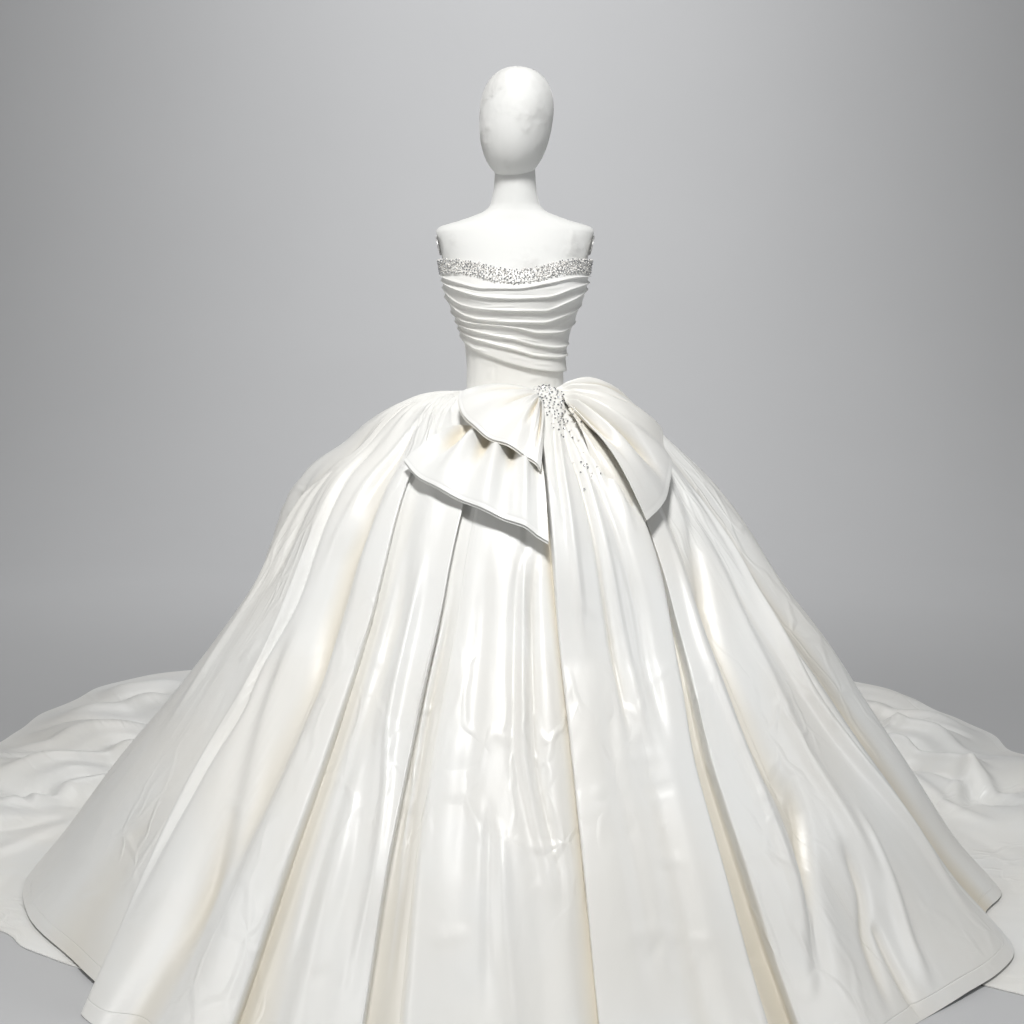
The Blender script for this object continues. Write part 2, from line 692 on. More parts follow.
# %% Columns and rows of the skirt
MEAN_HEM_RADIUS = 1080
HEM_MM_PER_DEGREE = MEAN_HEM_RADIUS * math.pi / 180
WRAP = 4
SEEN_AZIMUTH = 66
SEEN_STEP, HIDDEN_STEP = 7, 15
padded_lines = np.concatenate([
    LINE_AZIMUTHS[:, -1 - WRAP:-1] - 360, LINE_AZIMUTHS, LINE_AZIMUTHS[:, 1:1 + WRAP] + 360], axis=1)
padded_reliefs = np.concatenate([
    LINE_RELIEFS[:, -1 - WRAP:-1], LINE_RELIEFS, LINE_RELIEFS[:, 1:1 + WRAP]], axis=1)
padded_rises = np.pad(LINE_RISES, WRAP)
chords = np.hypot(np.diff(padded_lines[-1]) * HEM_MM_PER_DEGREE, np.diff(padded_reliefs[-1]))
line_stops = np.concatenate([[0], np.cumsum(chords)])

samples = []
line_column = {}
for k, chord in enumerate(chords):
    line_column[k - WRAP] = len(samples)
    step = SEEN_STEP if abs(padded_lines[-1][k]) < SEEN_AZIMUTH else HIDDEN_STEP
    count = max(3, math.ceil(chord / step))
    samples.extend(line_stops[k] + chord * np.arange(count) / count)
line_column[len(chords) - WRAP] = len(samples)
samples.append(line_stops[-1])
samples = np.array(samples)

ROW_STEP = 11
row_downs = np.linspace(0, HEM, round(HEM / ROW_STEP) + 1)
row_azimuths = through(LEVELS, padded_lines, row_downs)
row_reliefs = through([0, 120, LEVELS[2], HEM], padded_reliefs, row_downs)
row_reliefs = row_reliefs + padded_rises * through(GATHER_DOWNS, GATHER_SHARES, row_downs)[:, None]
FOLD_ROUNDING = 1.6
azimuths = blurred(through(line_stops, row_azimuths.T, samples).T, FOLD_ROUNDING)
reliefs = blurred(through(line_stops, row_reliefs.T, samples).T, FOLD_ROUNDING)
line_numbers = np.interp(samples, line_stops, np.arange(len(line_stops)))

first_column, last_column = line_column[0], line_column[LAST_LINE]
azimuths = azimuths[:, first_column:last_column + 1]
reliefs = reliefs[:, first_column:last_column + 1]
line_numbers = line_numbers[first_column:last_column + 1]
across_mm = samples[first_column:last_column + 1] - samples[first_column]
downs = row_downs[:, None] + 0 * azimuths
print("skirt grid:", azimuths.shape)

# %% [markdown]
# Inside each pleat lie softer folds. Each is a curved stroke from the hip towards the hem, with its own
# width and height, and with one flank steeper than the other where the cloth leans over. They are placed
# one by one where the photo shows them, and by guess, in the same uneven way, round the back.

# %% Long folds
FOLDS = [
    # half width, height (a trough is negative), lean, then azimuth and distance down along the fold
    # front left
    (11, 8, 0.3, [(-19.8, 500), (-19.7, 732), (-19.3, 860), (-18.2, 950), (-17, 1040), (-16.2, 1182),
                  (-16.4, 1400)]),
    (20, -8, 0, [(-22.6, 480), (-22.4, 732), (-22, 868), (-20.6, 1000), (-19.2, 1182), (-19.4, 1420)]),
    (14, 6, -0.3, [(-25.2, 470), (-25, 700), (-24.6, 950), (-24.2, 1200), (-23.6, 1430)]),
    (10, -10, 0.4, [(-52.8, 200), (-51.9, 346), (-50.6, 518), (-49.4, 660), (-50.4, 808), (-48.7, 921),
                    (-49.1, 1012), (-48.3, 1123), (-46.5, 1400)]),
    (26, 9, -0.3, [(-56, 200), (-55, 346), (-53.2, 518), (-52.2, 660), (-53, 808), (-51.5, 1012),
                   (-50, 1300)]),
    (26, -9, 0, [(-36.4, 200), (-37.1, 290), (-37.3, 476), (-39.1, 560), (-38.7, 663), (-34.5, 852),
                 (-32.5, 980)]),
    (20, 6, 0, [(-44.4, 640), (-43, 830), (-40, 980), (-37, 1110), (-34.8, 1260), (-34, 1420)]),
    (20, -6, 0, [(-47, 700), (-45.8, 840), (-43, 990), (-39.8, 1120), (-37.4, 1260), (-36.8, 1440)]),
    (16, -7, 0.2, [(-66, 250), (-62.5, 400), (-62, 560), (-65, 700)]),
    (18, 8, -0.2, [(-70, 260), (-68, 420), (-67.5, 600), (-70, 820), (-72, 1050)]),
    (10, 5, 0.2, [(-42.4, 150), (-42.6, 280), (-43.4, 420), (-44.5, 620)]),
    (9, -5, 0, [(-40.6, 140), (-40.4, 300), (-41, 470)]),
    (5, 5, 0.2, [(-13.3, 560), (-14.6, 835), (-14.1, 1034), (-13.4, 1214), (-13, 1400)]),
    (4, -4, 0, [(-12.7, 600), (-13.9, 900), (-13.1, 1214), (-12.2, 1420)]),
    # centre
    (11, 6, 0.2, [(3.8, 450), (1.6, 620), (1.1, 900), (2.4, 1040), (3.8, 1174), (3.4, 1260)]),
    (10, -5, 0, [(5.8, 470), (3.1, 640), (2.5, 900), (3.8, 1040), (5.2, 1174), (4.6, 1300)]),
    (10, -4, 0, [(1.6, 480), (-0.2, 640), (-0.4, 900), (1, 1040), (2.2, 1174)]),
    (22, -5, 0, [(-6.4, 470), (-6.2, 700), (-6.6, 1000), (-6, 1300)]),
    (14, 5, 0, [(-1.8, 1050), (-1.2, 1210), (-0.4, 1340), (0.4, 1470)]),
    (12, -5, 0.2, [(-3.6, 1000), (-3.2, 1180), (-2.6, 1400)]),
    # the panel gathered into the knot
    (6, -8, 0.2, [(13.9, 196), (12.4, 250), (11, 330), (10.4, 400), (10.2, 520)]),
    (8, 7, 0.2, [(14.3, 196), (13.4, 262), (12, 340), (11.4, 430), (11.4, 600), (11.6, 760)]),
    (6, -9, 0.2, [(14.9, 196), (15.2, 262), (15.5, 320), (15.7, 351), (16.1, 408), (16.4, 497), (16.6, 600),
                  (16.8, 760), (16.2, 960)]),
    (11, 8, -0.3, [(15.5, 196), (16.6, 262), (17.6, 340), (18.2, 430), (18.7, 560), (19.2, 760),
                   (19.4, 1000)]),
    (6, -8, 0.3, [(16, 196), (17.8, 262), (19, 320), (20, 400)]),
    (8, 6, -0.2, [(16.8, 196), (19.4, 262), (21, 340), (21.9, 440)]),
    (12, -9, 0, [(18.6, 300), (20.7, 410), (22.2, 533), (23, 663), (22.4, 764), (21.8, 980)]),
    (9, 6, -0.2, [(18, 196), (22, 262), (24.2, 340), (25.2, 430), (25.4, 540)]),
    (24, -6, 0, [(14, 760), (13.6, 950), (13.8, 1200), (13.6, 1450)]),
    # front right
    (24, -11, 0, [(56.6, 349), (46.8, 500), (43, 600), (38.8, 753), (37.4, 963), (38.3, 1066), (37, 1168),
                  (34.6, 1302), (32, 1430)]),
    (16, 7, 0.3, [(38.5, 480), (35.2, 640), (33.6, 800), (33.8, 1000), (33.2, 1200), (31, 1400)]),
    (17, 11, 0.3, [(61.3, 300), (57.6, 535), (55.6, 687), (53.9, 864), (55.5, 1005), (57.6, 1134),
                   (59.5, 1262), (60.2, 1392), (61.6, 1500)]),
    (14, -9, 0, [(65, 340), (61, 535), (58.6, 687), (56.9, 864), (58.3, 1005), (60.2, 1134), (62, 1262)]),
    (20, 7, 0, [(52, 430), (49.4, 600), (47, 760), (46, 960), (47.5, 1160), (48, 1400)]),
    (18, -8, -0.2, [(57, 600), (60.4, 720), (64.7, 830), (68.6, 930), (71, 1020), (72, 1120)]),
    (12, -10, 0.3, [(58.6, 1040), (60.8, 1251), (63.9, 1347), (66, 1500)]),
    (18, -9, 0, [(41, 1000), (39.8, 1101), (35.7, 1236), (30.3, 1440)]),
    (14, -8, 0, [(45, 1160), (44, 1268), (40.8, 1364), (38.6, 1500)]),
    (11, -7, 0.2, [(43.4, 1320), (42.7, 1409), (42.3, 1510)]),
    (16, 8, -0.2, [(50.5, 1120), (49.5, 1260), (47, 1400), (46, 1500)]),
    # sides and back
    (18, 9, 0.2, [(78, 250), (80, 480), (84, 760), (86, 1050), (88, 1350)]),
    (15, -9, 0, [(82, 300), (84, 520), (88, 800), (90, 1080)]),
    (20, 8, -0.2, [(93, 420), (97, 700), (98, 1000), (99, 1400)]),
    (16, -8, 0.2, [(103, 260), (105, 520), (106, 900), (104, 1260)]),
    (17, -9, 0, [(-79, 300), (-84, 560), (-88, 860), (-90, 1200)]),
    (19, 9, 0.2, [(-83, 240), (-90, 520), (-94, 800), (-95, 1150), (-96, 1440)]),
    (16, -8, -0.2, [(-98, 360), (-102, 640), (-104, 1000), (-103, 1340)]),
    (16, 7, 0.3, [(122, 200), (123, 520), (121, 900), (122, 1300)]),
    (14, -7, 0, [(131, 340), (132, 700), (134, 1100)]),
    (18, 8, 0, [(147, 240), (148, 600), (150, 1000), (149, 1380)]),
    (15, -8, 0.2, [(158, 300), (160, 660), (159, 1060)]),
    (17, 7, -0.2, [(171, 220), (170, 560), (172, 960), (171, 1360)]),
    (15, -8, 0, [(-172, 280), (-173, 640), (-171, 1060), (-172, 1400)]),
    (17, 8, 0.2, [(-161, 240), (-160, 580), (-162, 980)]),
    (16, -7, 0, [(-147, 360), (-149, 760), (-148, 1200)]),
    (18, 8, -0.3, [(-135, 220), (-134, 560), (-136, 940), (-135, 1360)]),
    (14, -8, 0, [(-121, 320), (-120, 700), (-122, 1080)]),
]
FOLD_STRENGTH = 1.3
FOLD_SPREAD = 0.9
FOLD_WIDENS = (0.8, 1.25)
FOLD_RISES = (0, 0.22)
FOLD_DIES = (0.72, 1)


def fold_height(folds, degrees, down, mm_per_degree):
    """The relief of curved strokes, each a bell across its path that rises and dies out along it."""
    total = np.zeros(degrees.shape)
    level = down[:, :1]
    for half_width, height, lean, path in folds:
        path = np.array(path, float)
        middle = through(path[:, 1], path[:, 0], level[:, 0])[:, None]
        along = (level - path[0, 1]) / (path[-1, 1] - path[0, 1])
        present = ((along > -0.01) & (along < 1.01))[:, 0]
        taper = smoothstep(*FOLD_RISES, along) * (1 - smoothstep(*FOLD_DIES, along))
        aside = (degrees[present] - middle[present]) * mm_per_degree[present]
        leaning = 1 + lean * np.sign(aside)
        spread = FOLD_SPREAD * half_width * leaning * lerp(*FOLD_WIDENS, along[present])
        total[present] += FOLD_STRENGTH * height * taper[present] * np.exp(-((aside / spread) ** 2))
    return total


print("long folds:", len(FOLDS))

# %% [markdown]
# The waist is gathered into fine tucks of uneven depth that die out within a hand's breadth. Where the
# cloth was handled or sat on, short creases cross the folds: each is a straight stroke.

# %% Waist tucks and creases
TUCK = {"height": 4.4, "length": 230, "uneven": 90}
CREASE_STRENGTH = 1.1
HOLLOW = {"blur": 14, "from": 4, "depth": 24}
CREASES = [
    # azimuth and distance down at both ends, half width, height
    (13.8, 944, 22.1, 949, 6, 1.8), (14.6, 1002, 22, 1011, 6, -1.8), (9.5, 1014, 13.2, 997, 6, 1.6),
    (10.8, 1262, 16.3, 1251, 7, 2.0), (12.7, 1315, 15.7, 1269, 6, -2.0), (18, 1286, 21.1, 1280, 7, 2.0),
    (24.2, 1276, 26.4, 1275, 6, 1.4), (31.6, 1064, 34.7, 1045, 7, 2.0), (-20.6, 1343, -18.4, 1326, 7, -2.2),
    (-17, 1337, -15.3, 1357, 6, 2.0), (-17.7, 1354, -16.3, 1330, 6, -2.0), (-42, 1061, -37.2, 1097, 8, 2.4),
    (-48.3, 1368, -43, 1283, 9, -2.6), (-65, 1405, -60.4, 1354, 9, 2.4), (11, 640, 16, 668, 7, 1.6),
    (18.5, 700, 14.2, 742, 8, -1.8), (10.4, 1096, 15.6, 1078, 7, -1.6), (15.8, 1130, 20.6, 1152, 7, 1.8),
    (36.5, 620, 42, 655, 9, -2.0), (44, 905, 50, 870, 9, 2.0), (-9.2, 1262, -4.6, 1250, 8, 1.4),
    (-31, 905, -35.6, 950, 8, -1.8), (-56, 760, -60, 820, 10, 2.4), (-26.6, 742, -23.2, 764, 7, 1.6),
    (62, 700, 69, 745, 10, -2.4), (-58, 1180, -63, 1235, 10, -2.4), (52, 1330, 56, 1400, 9, 2.4),
]


def crease_height(table, across, down, scale):
    """The relief of straight strokes. The scale turns the first coordinate into millimetres."""
    total = np.zeros(np.broadcast(across, down).shape)
    for across0, down0, across1, down1, width, height in table:
        x = (across - across0) * scale
        y = down - down0
        end_x = (across1 - across0) * scale
        end_y = down1 - down0
        length = np.sqrt(end_x**2 + end_y**2)
        along = (x * end_x + y * end_y) / length**2
        aside = (x * end_y - y * end_x) / length
        taper = smoothstep(-0.02, 0.3, along) * (1 - smoothstep(0.7, 1.02, along))
        total += height * np.exp(-((aside / width) ** 2)) * taper
    return total


tuck_wave = np.sin(2 * np.pi * 1.37 * line_numbers + 2.1 * np.sin(0.7 * line_numbers))
tuck_size = 0.7 + 0.3 * np.sin(1.9 * line_numbers + 1)
tuck_length = TUCK["length"] + TUCK["uneven"] * np.sin(2.7 * line_numbers)
tuck_depth = smoothstep(3, 45, downs) * (1 - smoothstep(0.25 * tuck_length, tuck_length, downs))
reliefs = reliefs + TUCK["height"] * tuck_depth * tuck_size * tuck_wave
mm_per_degree = np.radians(skirt_radius(azimuths, downs))
reliefs = reliefs + fold_height(FOLDS, azimuths, downs, mm_per_degree)
reliefs = reliefs + CREASE_STRENGTH * crease_height(CREASES, azimuths, downs, mm_per_degree)
sunk = blurred(reliefs, HOLLOW["blur"]) - reliefs
hollows = np.clip((sunk - HOLLOW["from"]) / HOLLOW["depth"], 0, 1)[::-1]
print("creases:", len(CREASES))

# %% [markdown]
# The whole skirt is worked out as one closed surface, so that neighbouring gores share the same folds,
# and is then cut into its seven gores along low lines, where a maker hides the seams.

# %% Skirt gores
HEM_EDGE = 1.0
skirt_outer = skirt_point(azimuths, downs, reliefs)[::-1]
skirt_inner = skirt_outer - CLOTH * unit_normals(skirt_outer, closed=True)
hem_z = skirt_outer[0, :, 2]
skirt_inner[0, :, 2] = np.maximum(hem_z - HEM_EDGE * (hem_z > 2 * CLOTH + HEM_LIFT), 0)


def fit_rim(row, z):
    """The rim at the waist seam lies on the form."""
    degrees = np.degrees(np.arctan2(row[:, 0] / torso_size(1, WAIST_Z), -row[:, 1] / torso_size(2, WAIST_Z)))
    rim = torso_point(degrees, np.full(len(row), float(WAIST_Z)), 2 * SEAM)
    rim[:, 2] = z
    return rim


skirt_outer[-1] = fit_rim(skirt_outer[-1], WAIST_Z)
skirt_inner[-1] = fit_rim(skirt_inner[-1], WAIST_Z - CLOTH)

above_hem = HEM - row_downs[::-1]
skirt_uv = np.stack(np.broadcast_arrays(across_mm[None, :] * MM, above_hem[:, None] * MM), axis=2)
GORES = {
    "skirt_back_left": (0, FIRST_FRONT),
    "skirt_side_left": (FIRST_FRONT, FIRST_FRONT + 6),
    "skirt_front_left": (FIRST_FRONT + 6, FIRST_FRONT + 18),
    "skirt_front": (FIRST_FRONT + 18, FIRST_FRONT + 25),
    "skirt_front_right": (FIRST_FRONT + 25, FIRST_FRONT + 35),
    "skirt_side_right": (FIRST_FRONT + 35, LAST_FRONT),
    "skirt_back_right": (LAST_FRONT, LAST_LINE),
}


def trimmed(grid, start=True, end=True):
    """Half the seam gap comes off a side edge."""
    cut = grid.copy()
    for on, edge, inside in ((start, 0, 1), (end, -1, -2)):
        if on:
            step = grid[:, inside] - grid[:, edge]
            cut[:, edge] += step / np.linalg.norm(step, axis=1, keepdims=True) * SEAM / 2
    return cut


pieces = {}
for name, (start, end) in GORES.items():
    cut = slice(line_column[start] - first_column, line_column[end] - first_column + 1)
    outer, inner = trimmed(skirt_outer[:, cut]), trimmed(skirt_inner[:, cut])
    pieces[name] = cloth_wall(name + "_satin", outer, inner, SATIN, skirt_uv[:, cut])
    tint_hollows(pieces[name], hollows[:, cut])
    hem_width = across_mm[cut][-1] - across_mm[cut][0]
    print(name, round(cloth_area(pieces[name]), 2), "m2, hem", round(hem_width), "mm")

# %% [markdown]
# The train spreads on the floor behind, in two halves. It leaves the skirt's hem with the skirt's own
# folds, which open into long low waves and flatten towards the edge.

# %% Train
TRAIN_OUTLINE = np.array([
    # azimuth, reach on the left, reach on the right
    (54, 1000, 1185), (60, 1048, 1290), (71, 1140, 1365), (90, 1420, 1480), (107, 1680, 1630),
    (125, 1935, 1830), (150, 2500, 2340), (165, 2590, 2530), (180, 2600, 2600),
])
TRAIN = {"inner": 950, "hem_room": 48, "ripple": 18, "rows": 88, "side_end": 108.5, "side_step": 0.6,
         "start": 0.1, "edge_drop": 0.45, "wave_left": 0.55}
TRAIN_SIDE = [54, 61, 69, 77, 86, 95, 103]
SIDE_HEM_RADIUS = {-1: MERIDIAN[-1, 1], 1: MERIDIAN[-1, 2]}
TRAIN_FOLDS = [
    # x and y at both ends, half width, height: long sweeping waves on the left
    (-1000, 1200, -1560, 900, 40, 24), (-1000, 1060, -1500, 760, 34, -24), (-1020, 960, -1450, 590, 34, 28),
    (-1000, 780, -1400, 440, 30, -22), (-1040, 690, -1360, 350, 28, 26), (-1060, 500, -1300, 170, 26, -20),
    (-1090, 430, -1260, 10, 26, 24), (-1120, 170, -1190, -260, 22, 18), (-1120, 1620, -1480, 1360, 50, 28),
    (-1150, 1930, -1440, 1700, 44, 26), (-1060, 1380, -1540, 1190, 42, -24),
    (-1150, 1780, -1450, 1540, 36, -22), (-820, 1250, -1120, 2300, 55, 24),
    (-620, 1350, -800, 2500, 60, -24), (-400, 1400, -450, 2560, 60, 26),
    (-180, 1450, -160, 2560, 55, -22), (-900, 1700, -1180, 1500, 40, 18), (-560, 2100, -300, 1900, 46, 16),
    # crisp angular ones on the right
    (980, 1280, 1380, 880, 28, 30), (1000, 1150, 1340, 640, 24, -24), (1040, 1120, 1330, 420, 24, 30),
    (1040, 900, 1320, 330, 22, -24), (1010, 820, 1200, 230, 22, 30), (1030, 620, 1180, -10, 20, -22),
    (1040, 560, 1130, -220, 20, 26), (1110, 420, 1340, 760, 22, 20), (1060, 1000, 1260, 1180, 24, 20),
    (1120, 1520, 1440, 1160, 32, 28), (1130, 1700, 1420, 1400, 30, -24), (1150, 1860, 1440, 1500, 36, 26),
    (1180, 1320, 1400, 1040, 26, -22), (760, 1280, 1040, 2250, 52, -24), (520, 1380, 660, 2450, 58, 26),
    (270, 1450, 320, 2550, 55, -24), (70, 1450, 60, 2560, 50, 24), (880, 1900, 640, 1640, 40, 18),
]


def train_point(azimuth, side, seam_point, relief, v):
    """v runs from the skirt's hem to the train's edge. Columns beside the skirt start under its side hem."""
    reach = through(TRAIN_OUTLINE[:, 0], TRAIN_OUTLINE[:, 1 if side < 0 else 2], azimuth)[None, :]
    uneven = 11 * np.sin(0.34 * azimuth + side) + 7 * np.sin(0.83 * azimuth + 2 * side)
    reach = reach + (uneven * smoothstep(58, 75, azimuth) * (1 - smoothstep(165, 176, azimuth)))[None, :]
    on_seam = ~np.isnan(seam_point[:, 0])[None, :]
    seam_radius = np.hypot(seam_point[:, 0], seam_point[:, 1]) + SEAM
    hem_radius = np.where(on_seam, seam_radius, SIDE_HEM_RADIUS[side])
    clear = np.minimum(hem_radius + TRAIN["hem_room"], lerp(TRAIN["inner"], reach, 0.5))
    v = v[:, None]
    start = TRAIN["start"]
    outside = np.clip((v - start) / (1 - start), 0, 1)
    beside = np.where(v < start, lerp(TRAIN["inner"], clear, v / start), lerp(clear, reach, outside))
    radius = np.where(on_seam, lerp(hem_radius, reach, v), beside)
    share = flare_share(azimuth)[None, :]
    risen = smoothstep(0, 200, radius - hem_radius - TRAIN["hem_room"])
    settled = np.where(on_seam, lerp(share, 1, risen), risen)
    wander = 10 * np.sin(0.09 * azimuth + 5 * v) + 8 * np.sin(0.23 * azimuth - 7 * v + 1)
    room = BACK["room"] * BACK["hem"]
    wave = relief * lerp(1, TRAIN["wave_left"], v) + room + wander * smoothstep(0, 0.3, v)
    angle = np.radians(side * azimuth)[None, :]
    wave = wave + crease_height(TRAIN_FOLDS, radius * np.sin(angle), -radius * np.cos(angle), 1.0)
    edge = 1 - TRAIN["edge_drop"] * smoothstep(0.75, 1, v)
    near_hem = smoothstep(TRAIN_SIDE[0], 76, azimuth)
    height = FLARE["floor"] + np.maximum(wave, 0) * settled * edge * near_hem
    return np.stack(np.broadcast_arrays(radius * np.sin(angle), -radius * np.cos(angle), height), axis=-1)


def train_half(side):
    side_azimuths = np.arange(TRAIN_SIDE[0], TRAIN["side_end"], TRAIN["side_step"])
    ripples = [(-1 if k % 2 else 1) * TRAIN["ripple"] for k in range(len(TRAIN_SIDE))] + [0]
    side_relief = through(TRAIN_SIDE + [110], ripples, side_azimuths)
    cut = (slice(0, line_column[FIRST_FRONT] - first_column + 1) if side < 0
           else slice(line_column[LAST_FRONT] - first_column, None))
    seam = skirt_outer[0, cut]
    back_azimuths = np.abs(azimuths[-1, cut])
    back_relief = reliefs[-1, cut]
    empty = np.full((len(side_azimuths), 3), np.nan)
    if side < 0:
        azimuth = np.concatenate([back_azimuths, side_azimuths[::-1]])
        relief = np.concatenate([back_relief, side_relief[::-1]])
        seam_point = np.concatenate([seam, empty])
    else:
        azimuth = np.concatenate([side_azimuths, back_azimuths])
        relief = np.concatenate([side_relief, back_relief])
        seam_point = np.concatenate([empty, seam])
    v = np.linspace(0, 1, TRAIN["rows"])
    top = train_point(azimuth, side, seam_point, relief, v)[::-1]
    underside = top - np.array([0, 0, CLOTH])
    return trimmed(top, side < 0, side > 0), trimmed(underside, side < 0, side > 0)


for name, side in (("train_left", -1), ("train_right", 1)):
    top, underside = train_half(side)
    pieces[name] = cloth_wall(name + "_satin", top, underside, SATIN, flat_uv(top))
    print(name, round(cloth_area(pieces[name]), 2), "m2")

# %% [markdown]
# The bodice is a smooth shell cut close to the form in three panels. Princess seams show as fine grooves,
# and a few creases lie at the waist, where the body of the form nips in.

# %% Bodice panels
NECKLINE_ANGLES = [0, 15, 31, 52, 90, 120, 150, 180]
NECKLINE_HEIGHTS = [1368, 1373, 1386, 1394, 1396, 1380, 1356, 1345]
BODICE_BOTTOM_Z = WAIST_Z + SEAM + 0.2
PRINCESS_SEAMS = [-58, -24, 24, 58, 118, 152, -118, -152]
PRINCESS = {"depth": 0.7, "half_width": 0.9}
BODICE_GRID = {"step": 2, "rows": 50}
BODICE_MM_PER_DEGREE = 1.9
BODICE_CREASES = [
    # azimuth and height at both ends, half width, height
    (-36, 1152, -26, 1153, 3.0, 1.6),
    (12, 1134, 34, 1143, 3.2, 2.0),
    (20, 1126, 44, 1133, 3.2, 1.6),
    (-44, 1178, -20, 1170, 4.0, 1.2),
]


def neckline_z(degrees):
    return through(NECKLINE_ANGLES, NECKLINE_HEIGHTS, np.abs(degrees))


def bodice_point(degrees, z, out):
    t = (z - BODICE_BOTTOM_Z) / (neckline_z(degrees) - BODICE_BOTTOM_Z)
    ease = lerp(2 * SEAM, 3, smoothstep(0, 0.12, t))
    return torso_point(degrees, z, ease + out)


def bodice_panel(name, start, end):
    degrees = np.linspace(start, end, round((end - start) / BODICE_GRID["step"]) + 1)
    folded = np.where(degrees > 180, degrees - 360, degrees)[None, :]
    t = np.linspace(0, 1, BODICE_GRID["rows"])[:, None]
    z = lerp(BODICE_BOTTOM_Z, neckline_z(folded), t)
    off_seams = [(folded - seam) / PRINCESS["half_width"] for seam in PRINCESS_SEAMS]
    groove = sum(PRINCESS["depth"] * np.exp(-(off**2)) for off in off_seams)
    crease = crease_height(BODICE_CREASES, folded, z, BODICE_MM_PER_DEGREE)
    outer = bodice_point(folded, z, CLOTH - groove + np.maximum(crease, 0))
    inner = bodice_point(folded, z, 0)
    pieces[name] = cloth_wall(name + "_satin", trimmed(outer), trimmed(inner), BODICE_SATIN, flat_uv(outer))
    print(name, round(cloth_area(pieces[name]), 3), "m2")


bodice_panel("bodice_front", -90, 90)
bodice_panel("bodice_back_right", 90, 180)
bodice_panel("bodice_back_left", 180, 270)

# %% [markdown]
# The overlay is ruched: its folds start close together at the left side seam and spread across the bust.
# Every fold is a narrow pinched crest that stands over a wide shallow hollow, so under the light above it
# shows as a thin bright line. Fine slack wrinkles run between the crests.

# %% Ruched overlay
FOLD_ANGLES = [-85, -50, -25, 0, 25, 50, 85]
FOLD_HEIGHTS = [
    [1367, 1346, 1332, 1331, 1342, 1356, 1364],
    [1355, 1328, 1313, 1309, 1312, 1331, 1350],
    [1338, 1296, 1286, 1283, 1283, 1303, 1335],
    [1318, 1273, 1262, 1259, 1258, 1272, 1300],
    [1284, 1259, 1254, 1247, 1236, 1238, 1262],
    [1263, 1244, 1232, 1222, 1209, 1205, 1214],
    [1249, 1226, 1213, 1200, 1187, 1184, 1190],
    [1230, 1202, 1184, 1168, 1157, 1153, 1154],
]
RUCHING = {"reach": 86, "columns": 131, "fold": 6, "groove": 0.6, "edge": 4.5, "clear": 1.4, "band": 27,
           "least": 0.3, "uneven": 0.14}
OVERLAY_MM_PER_DEGREE = 2.1
SLACK = [
    # azimuth and height at both ends, half width, height
    (-50, 1313, -18, 1297, 2.2, 1.0), (-30, 1293, 5, 1294, 2.0, 0.9), (10, 1275, 40, 1281, 2.2, -1.0),
    (-45, 1268, -12, 1266, 2.0, 1.2), (-8, 1271, 22, 1268, 1.8, 1.0), (5, 1255, 34, 1247, 2.0, 1.1),
    (-60, 1250, -22, 1240, 1.8, 1.1), (-30, 1236, 2, 1232, 1.8, -1.0), (-2, 1228, 30, 1217, 2.0, 1.0),
    (-52, 1226, -20, 1218, 1.8, 1.1), (-16, 1211, 14, 1200, 2.0, 1.0), (12, 1196, 42, 1190, 2.0, -1.0),
    (-58, 1208, -28, 1196, 1.8, 1.2), (-10, 1188, 20, 1176, 2.0, 0.9), (18, 1172, 48, 1167, 1.8, 1.0),
    (-52, 1336, -26, 1322, 2.2, 0.9), (20, 1330, 46, 1338, 2.4, 0.9), (-12, 1318, 20, 1317, 2.0, -0.8),
    (-70, 1290, -44, 1281, 1.8, 1.2), (44, 1255, 66, 1268, 2.0, 1.0), (30, 1225, 60, 1220, 2.0, 0.9),
]


def ruched_profile(degrees):
    """Heights and reliefs down one line of the overlay: below each crest the cloth tucks back under it."""
    edges = [through(FOLD_ANGLES, row, degrees) for row in FOLD_HEIGHTS]
    fold, rim = RUCHING["fold"], RUCHING["edge"]
    top = neckline_z(degrees)
    above = top - RUCHING["band"]
    stops = [(top, 0), (above, 0)]
    for edge in edges[:-1]:
        drop = above - edge
        stops += [
            (above - 0.45 * drop, 0.2 * fold),
            (edge + min(5.5, 0.3 * drop), 0.5 * fold),
            (edge + min(1.6, 0.12 * drop), fold),
            (edge - 0.8, 0.85 * fold),
            (edge - 1.6, RUCHING["groove"]),
        ]
        above = edge - 3
    low = edges[-1]
    stops += [(lerp(above, low, 0.5), 0.6 * rim), (low + 3, rim), (low, rim - 1)]
    return np.array(stops, float)


def ruched_overlay():
    degrees = np.linspace(-RUCHING["reach"], RUCHING["reach"], RUCHING["columns"])
    profiles = np.stack([ruched_profile(angle) for angle in degrees])
    stops = np.arange(profiles.shape[1])
    fine = np.linspace(0, stops[-1], 6 * stops[-1] + 1)
    heights = blurred(through(stops, profiles[:, :, 0].T, fine).T, 1.0).T
    relief = blurred(through(stops, profiles[:, :, 1].T, fine).T, 1.0).T
    across = degrees[None, :] + 0 * heights
    relief = relief * (1 + RUCHING["uneven"] * np.sin(across * 0.09 + heights * 0.07))
    slack = crease_height(SLACK, across, heights, OVERLAY_MM_PER_DEGREE)
    relief = np.maximum(relief + slack, RUCHING["least"])
    outer = bodice_point(across, heights, 2 * CLOTH + RUCHING["clear"] + relief)[::-1]
    inner = bodice_point(across, heights, CLOTH + RUCHING["clear"])[::-1]
    return outer, inner


outer, inner = ruched_overlay()
pieces["bodice_drape"] = cloth_wall("ruched_overlay", outer, inner, BODICE_SATIN, flat_uv(outer))
print("ruched overlay", len(pieces["bodice_drape"].data.polygons), "faces")

# %% [markdown]
# The neckline band is a strip of net thick with pearls and small crystals. Geometry Nodes scatter both
# over a sheet that laps the strip's two edges: points on its face, never closer than the gap, a bead on
# each, of uneven size.

